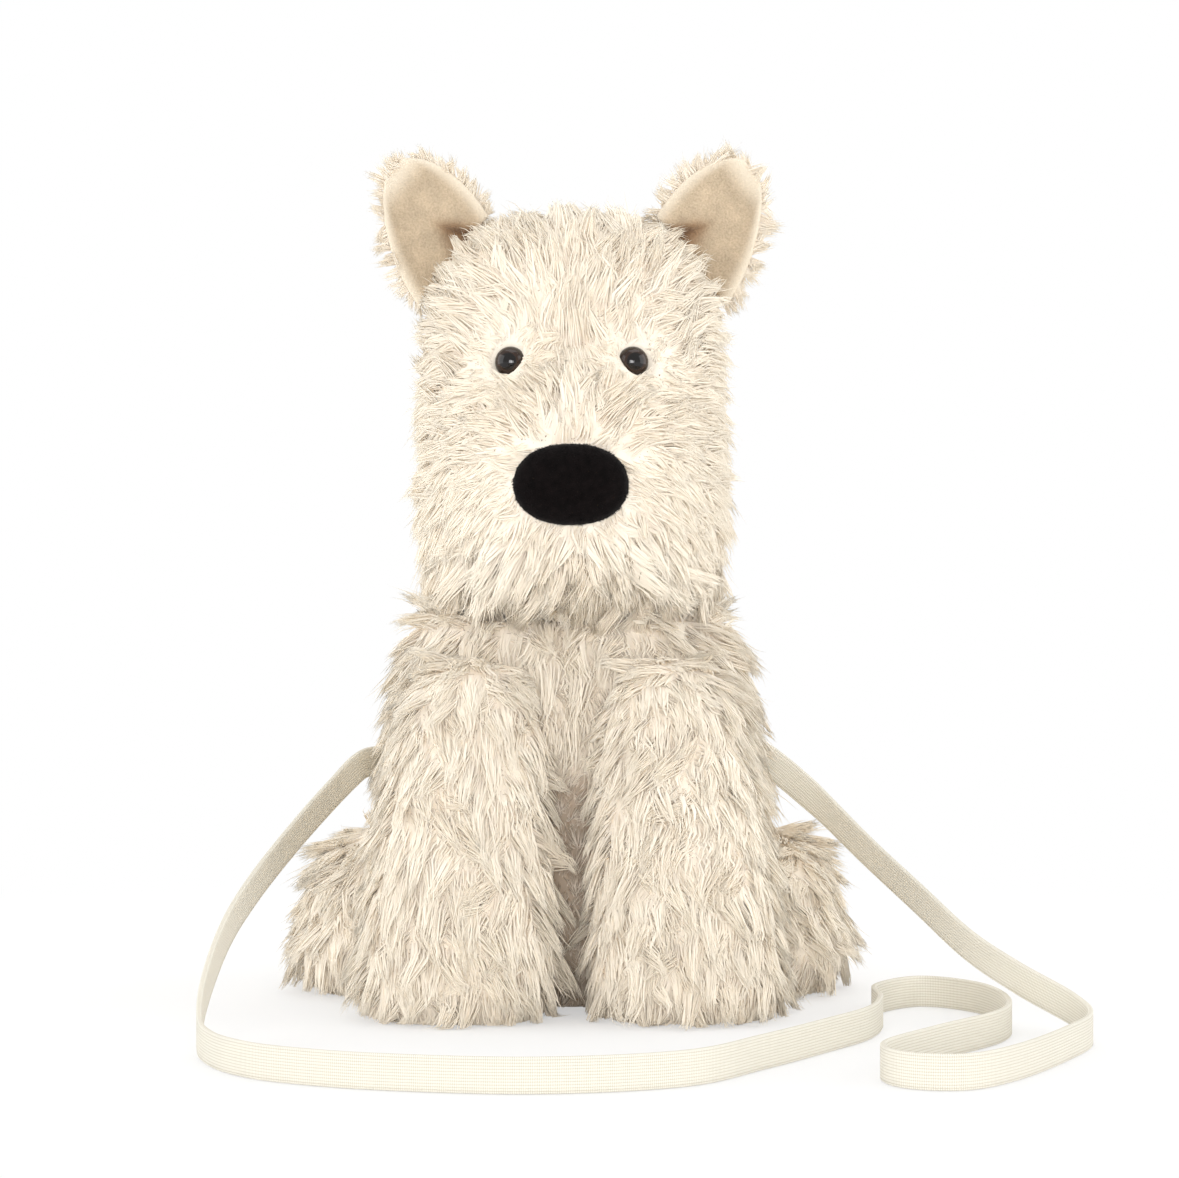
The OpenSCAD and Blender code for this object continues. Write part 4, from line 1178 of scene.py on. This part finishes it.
class PLUSH_OT_ears(bpy.types.Operator):
    """Makes the cupped ears with their folded short lining and their pile backs"""

    bl_idname = "plush.ears"
    bl_label = "Ears"

    def execute(self, context):
        pile = bpy.data.materials["shaggy_pile"]
        nap = lining_material()
        for number, side in enumerate(SIDES):
            back = self.leaf(f"{side}_ear_back_leaf", side,
                             border=0.6, thick=2.4, depth=0.2, roll=0.0)
            lining = self.leaf(f"{side}_ear_lining_leaf", side,
                               border=0.0, thick=1.3, depth=-1.9, roll=1.6)
            rng = np.random.default_rng(EAR_SEED + number)
            org, axis, tip = self.ear_frame(side)
            middle = org + EAR_UP * tip - EAR_IN * axis

            def weight(p, n):
                v = np.clip((p - org) @ tip / EAR_LENGTH, 0, 1)
                u = ((p - org) @ axis + EAR_LEAN * v) / self.half_width(v)
                return np.where((n[:, 1] > 0.3) | (np.abs(u) > 0.9) | (v > 0.93), 1.0, 0.0)

            def comb(p, n):
                return unit(p - middle) + 0.3 * tip + [0, 0.25, 0]

            coat = {"comb": comb, "length": even(8), "lift": (34, 0), "droop": 0.0, "swirl": 0.5,
                    "soft": 0.1}
            p, n = scatter(mesh_arrays(back), EAR_STRANDS, weight, rng)
            fur = locks(f"{side}_ear_pile", p, n, coat, rng, PILE_RINGS,
                        spacing=0.45, width=0.6, gather=0.4)
            finish_piece(fur, f"{side}_ear", "fur", pile)
            finish_piece(back, f"{side}_ear", "fur", pile, f"{side}_ear_back")
            finish_piece(lining, f"{side}_ear", "ear_lining", nap, f"{side}_ear_lining")
        return {"FINISHED"}

    @staticmethod
    def ear_frame(side):
        """The ear's root, its own outward axis and the way to its tip."""
        axis = np.array(JOINTS[f"{side}_ear_fold"]["axis"])
        axis = axis * np.sign(axis[0]) * SIDES[side]
        tip = unit(np.cross([0, 1.0, 0], axis) * -SIDES[side])
        return joint_place(f"{side}_ear_fold"), axis, tip

    @staticmethod
    def half_width(v):
        """Half the ear's width, from v = 0 at its root to 1 at its tip."""
        return (EAR_TIP + EAR_SPREAD * (1 - v ** 2.4) ** 0.8) / 2

    @staticmethod
    def fold(u, v):
        """Distance from the fold's line, from the flap to the pocket, and the fold's strength."""
        across = (u + 0.85) * 0.55 - (v + 0.12) * 0.84
        length = (u + 0.85) * 0.84 + (v + 0.12) * 0.55
        return across, ease(-0.25, 0.1, length) * ease(1.05, 0.5, length)

    @classmethod
    def leaf(cls, name, side, border, thick, depth, roll):
        """A cupped leaf in the ear's own frame, folded forward on its inner half. border is how
        far it stays inside the ear's outline, and roll how far its edge turns back."""
        org, axis, tip = cls.ear_frame(side)
        deselect()
        bpy.ops.mesh.primitive_grid_add(x_subdivisions=32, y_subdivisions=32, size=2)
        obj = active()
        obj.name = obj.data.name = name
        co = read(obj.data.vertices, "co", 3)
        u, v = co[:, 0], (co[:, 1] + 1) / 2
        half = cls.half_width(v) - border
        x = u * half - EAR_LEAN * v
        y = depth - 7 * (0.4 + 0.6 * v) * u * u * half * 2 / (EAR_TIP + EAR_SPREAD)
        z = border + v * (EAR_LENGTH - 2 * border)
        across, strength = cls.fold(u, v)
        step = ease(-0.04, 0.04, across + (0.16 if border else 0.0))
        flap = (1.0 if border else 3.8) * np.exp(-np.abs(across) / 0.30)
        y += strength * (step * 2.6 * np.exp(-np.abs(across) / 0.45) - (1 - step) * flap)
        # Painted shade for the pocket under the fold, which the lining takes through UV x
        dark = strength * np.where(across < 0, np.exp(across / 0.04), np.exp(-across / 0.38))
        rim = np.maximum(np.abs(u), np.maximum(2 * v - 1, 0))
        y += roll * rim ** 10
        place = org + x[:, None] * axis + y[:, None] * np.array([0, 1.0, 0]) + z[:, None] * tip
        obj.data.vertices.foreach_set("co", (place * MM).ravel())
        rim = ease(0.72, 1.0, np.maximum(np.abs(u), v))
        pocket = np.stack([np.clip(dark, 0, 1), rim], 1)[corners(obj.data)] * 0.96 + 0.02
        obj.data.uv_layers.active.data.foreach_set("uv", pocket.astype(np.float32).ravel())
        modify(obj, "SOLIDIFY", thickness=thick * MM, offset=0)
        modify(obj, "SUBSURF", levels=1, render_levels=1)
        edit_whole(bpy.ops.mesh.normals_make_consistent, inside=False)
        bpy.ops.object.shade_smooth()
        return obj


class PLUSH_OT_nose(bpy.types.Operator):
    """Makes the stuffed velour nose with its short nap"""

    bl_idname = "plush.nose"
    bl_label = "Nose"

    def execute(self, context):
        nose = copy_of("nose_velour", ("nose_pad",))
        remesh(nose, NOSE_VOXEL)
        modify(nose, "SMOOTH", factor=0.5, iterations=10)
        bpy.ops.object.shade_smooth()
        velour = velour_material()
        rng = np.random.default_rng(NOSE_SEED)
        p, n = scatter(mesh_arrays(nose), NOSE_STRANDS, even(1), rng)
        coat = {"comb": lambda q, m: unit(q - NOSE) + [0, 0, -0.3], "length": even(1.1),
                "lift": (75, 50), "droop": 0.0}
        nap = locks("nose_nap", p, n, coat, rng, SHORT_RINGS,
                    spacing=0.4, width=0.4, gather=0.2)
        finish_piece(nap, "head", "velour", velour)
        finish_piece(nose, "head", "velour", velour, "nose_pad")
        return {"FINISHED"}


class PLUSH_OT_eyes(bpy.types.Operator):
    """Makes the polished button eyes as domes, turned a little outward"""

    bl_idname = "plush.eyes"
    bl_label = "Eyes"

    def execute(self, context):
        gloss = eye_material()
        up = Vector((0, 0, 1))
        for (side, sign), apex in zip(SIDES.items(), EYES):
            turn = math.radians(EYE_TURN) * sign
            out = Vector((math.sin(turn), -math.cos(turn), 0))
            deselect()
            bpy.ops.mesh.primitive_uv_sphere_add(segments=48, ring_count=32, radius=EYE_RADIUS)
            eye = active()
            eye.name = eye.data.name = f"{side}_eye_button"
            edit_whole(bpy.ops.mesh.bisect, plane_co=(0, 0, EYE_CUT), plane_no=up,
                       use_fill=True, clear_inner=True)
            co = read(eye.data.vertices, "co", 3)
            reach = np.linalg.norm(co[:, :2], axis=1) / EYE_RADIUS
            angle = (np.arctan2(co[:, 1], co[:, 0]) / math.pi + 1) / 2
            rings = np.stack([reach, angle], 1)[corners(eye.data)].astype(np.float32)
            layer = eye.data.uv_layers.active or eye.data.uv_layers.new(name="rings")
            layer.data.foreach_set("uv", rings.ravel())
            place = (apex * MM + co[:, :1] * np.array(up.cross(out)) + co[:, 1:2] * np.array(up)
                     + (co[:, 2:] - EYE_RADIUS) * EYE_FLAT * np.array(out))
            eye.data.vertices.foreach_set("co", place.ravel())
            select(eye)
            edit_whole(bpy.ops.mesh.normals_make_consistent, inside=False)
            bpy.ops.object.shade_smooth()
            finish_piece(eye, "head", "eye", gloss, f"{side}_eye")
        return {"FINISHED"}


class PLUSH_OT_soles(bpy.types.Operator):
    """Makes the plain cloth panels under the seat and the paws"""

    bl_idname = "plush.soles"
    bl_label = "Soles"

    def execute(self, context):
        weave = cloth_material("sole_weave", SOLE_COLOR, SOLE_PITCH)
        for node, body in PANELS.items():
            panel = copy_of(f"{node}_cloth", (node,))
            modify(panel, "BEVEL", width=SOLE_EDGE, segments=3, limit_method="ANGLE")
            bpy.ops.object.shade_smooth_by_angle(angle=math.radians(40))
            finish_piece(panel, body, "plain_cloth", weave, node)
        return {"FINISHED"}


class PLUSH_OT_zip(bpy.types.Operator):
    """Finishes the zip, the pocket and the other CAD pieces that stay"""

    bl_idname = "plush.zip"
    bl_label = "Zip"

    def execute(self, context):
        metal = metal_material()
        teeth = plastic_material("zip_teeth_plastic", TEETH_COLOR)
        washer = plastic_material("washer_plastic", WASHER_COLOR)
        tape = cloth_material("zip_tape_weave", TAPE_COLOR, TAPE_PITCH)
        for node, mat in (("zip_slider", metal), ("zip_pull", metal), ("zip_stops", metal),
                          ("zip_teeth", teeth), ("zip_tape", tape), ("pocket_lining", tape),
                          ("left_eye_washer", washer), ("right_eye_washer", washer)):
            NODES[node].data.materials.clear()
            NODES[node].data.materials.append(mat)
        return {"FINISHED"}


class PLUSH_PT_panel(bpy.types.Panel):
    """Lists the plush terrier's settings and steps"""

    bl_idname = "PLUSH_PT_panel"
    bl_label = "Plush terrier"
    bl_space_type = "VIEW_3D"
    bl_region_type = "UI"
    bl_category = "Plush"

    def draw(self, context):
        for group in GROUPS:
            box = self.layout.box()
            settings = getattr(context.scene, group)
            for name in settings.__annotations__:
                box.prop(settings, name)
        for step in STEPS:
            self.layout.operator(step.bl_idname)


GROUPS = {"plush_pile": PileSettings, "plush_face": FaceSettings, "plush_strap": StrapSettings,
          "plush_stage": StageSettings}
STEPS = (PLUSH_OT_stage, PLUSH_OT_strap, PLUSH_OT_skins, PLUSH_OT_pile, PLUSH_OT_ears,
         PLUSH_OT_nose, PLUSH_OT_eyes, PLUSH_OT_soles, PLUSH_OT_zip)


def register():
    for cls in (*GROUPS.values(), *STEPS, PLUSH_PT_panel):
        bpy.utils.register_class(cls)
    for name, cls in GROUPS.items():
        setattr(bpy.types.Scene, name, bpy.props.PointerProperty(type=cls))


def unregister():
    for name in GROUPS:
        delattr(bpy.types.Scene, name)
    for cls in (PLUSH_PT_panel, *reversed(STEPS), *GROUPS.values()):
        bpy.utils.unregister_class(cls)


def main():
    register()
    bpy.ops.plush.stage()
    bpy.ops.plush.strap()
    bpy.ops.plush.skins()
    bpy.ops.plush.pile()
    bpy.ops.plush.ears()
    bpy.ops.plush.nose()
    bpy.ops.plush.eyes()
    bpy.ops.plush.soles()
    bpy.ops.plush.zip()


if __name__ == "__main__":
    main()
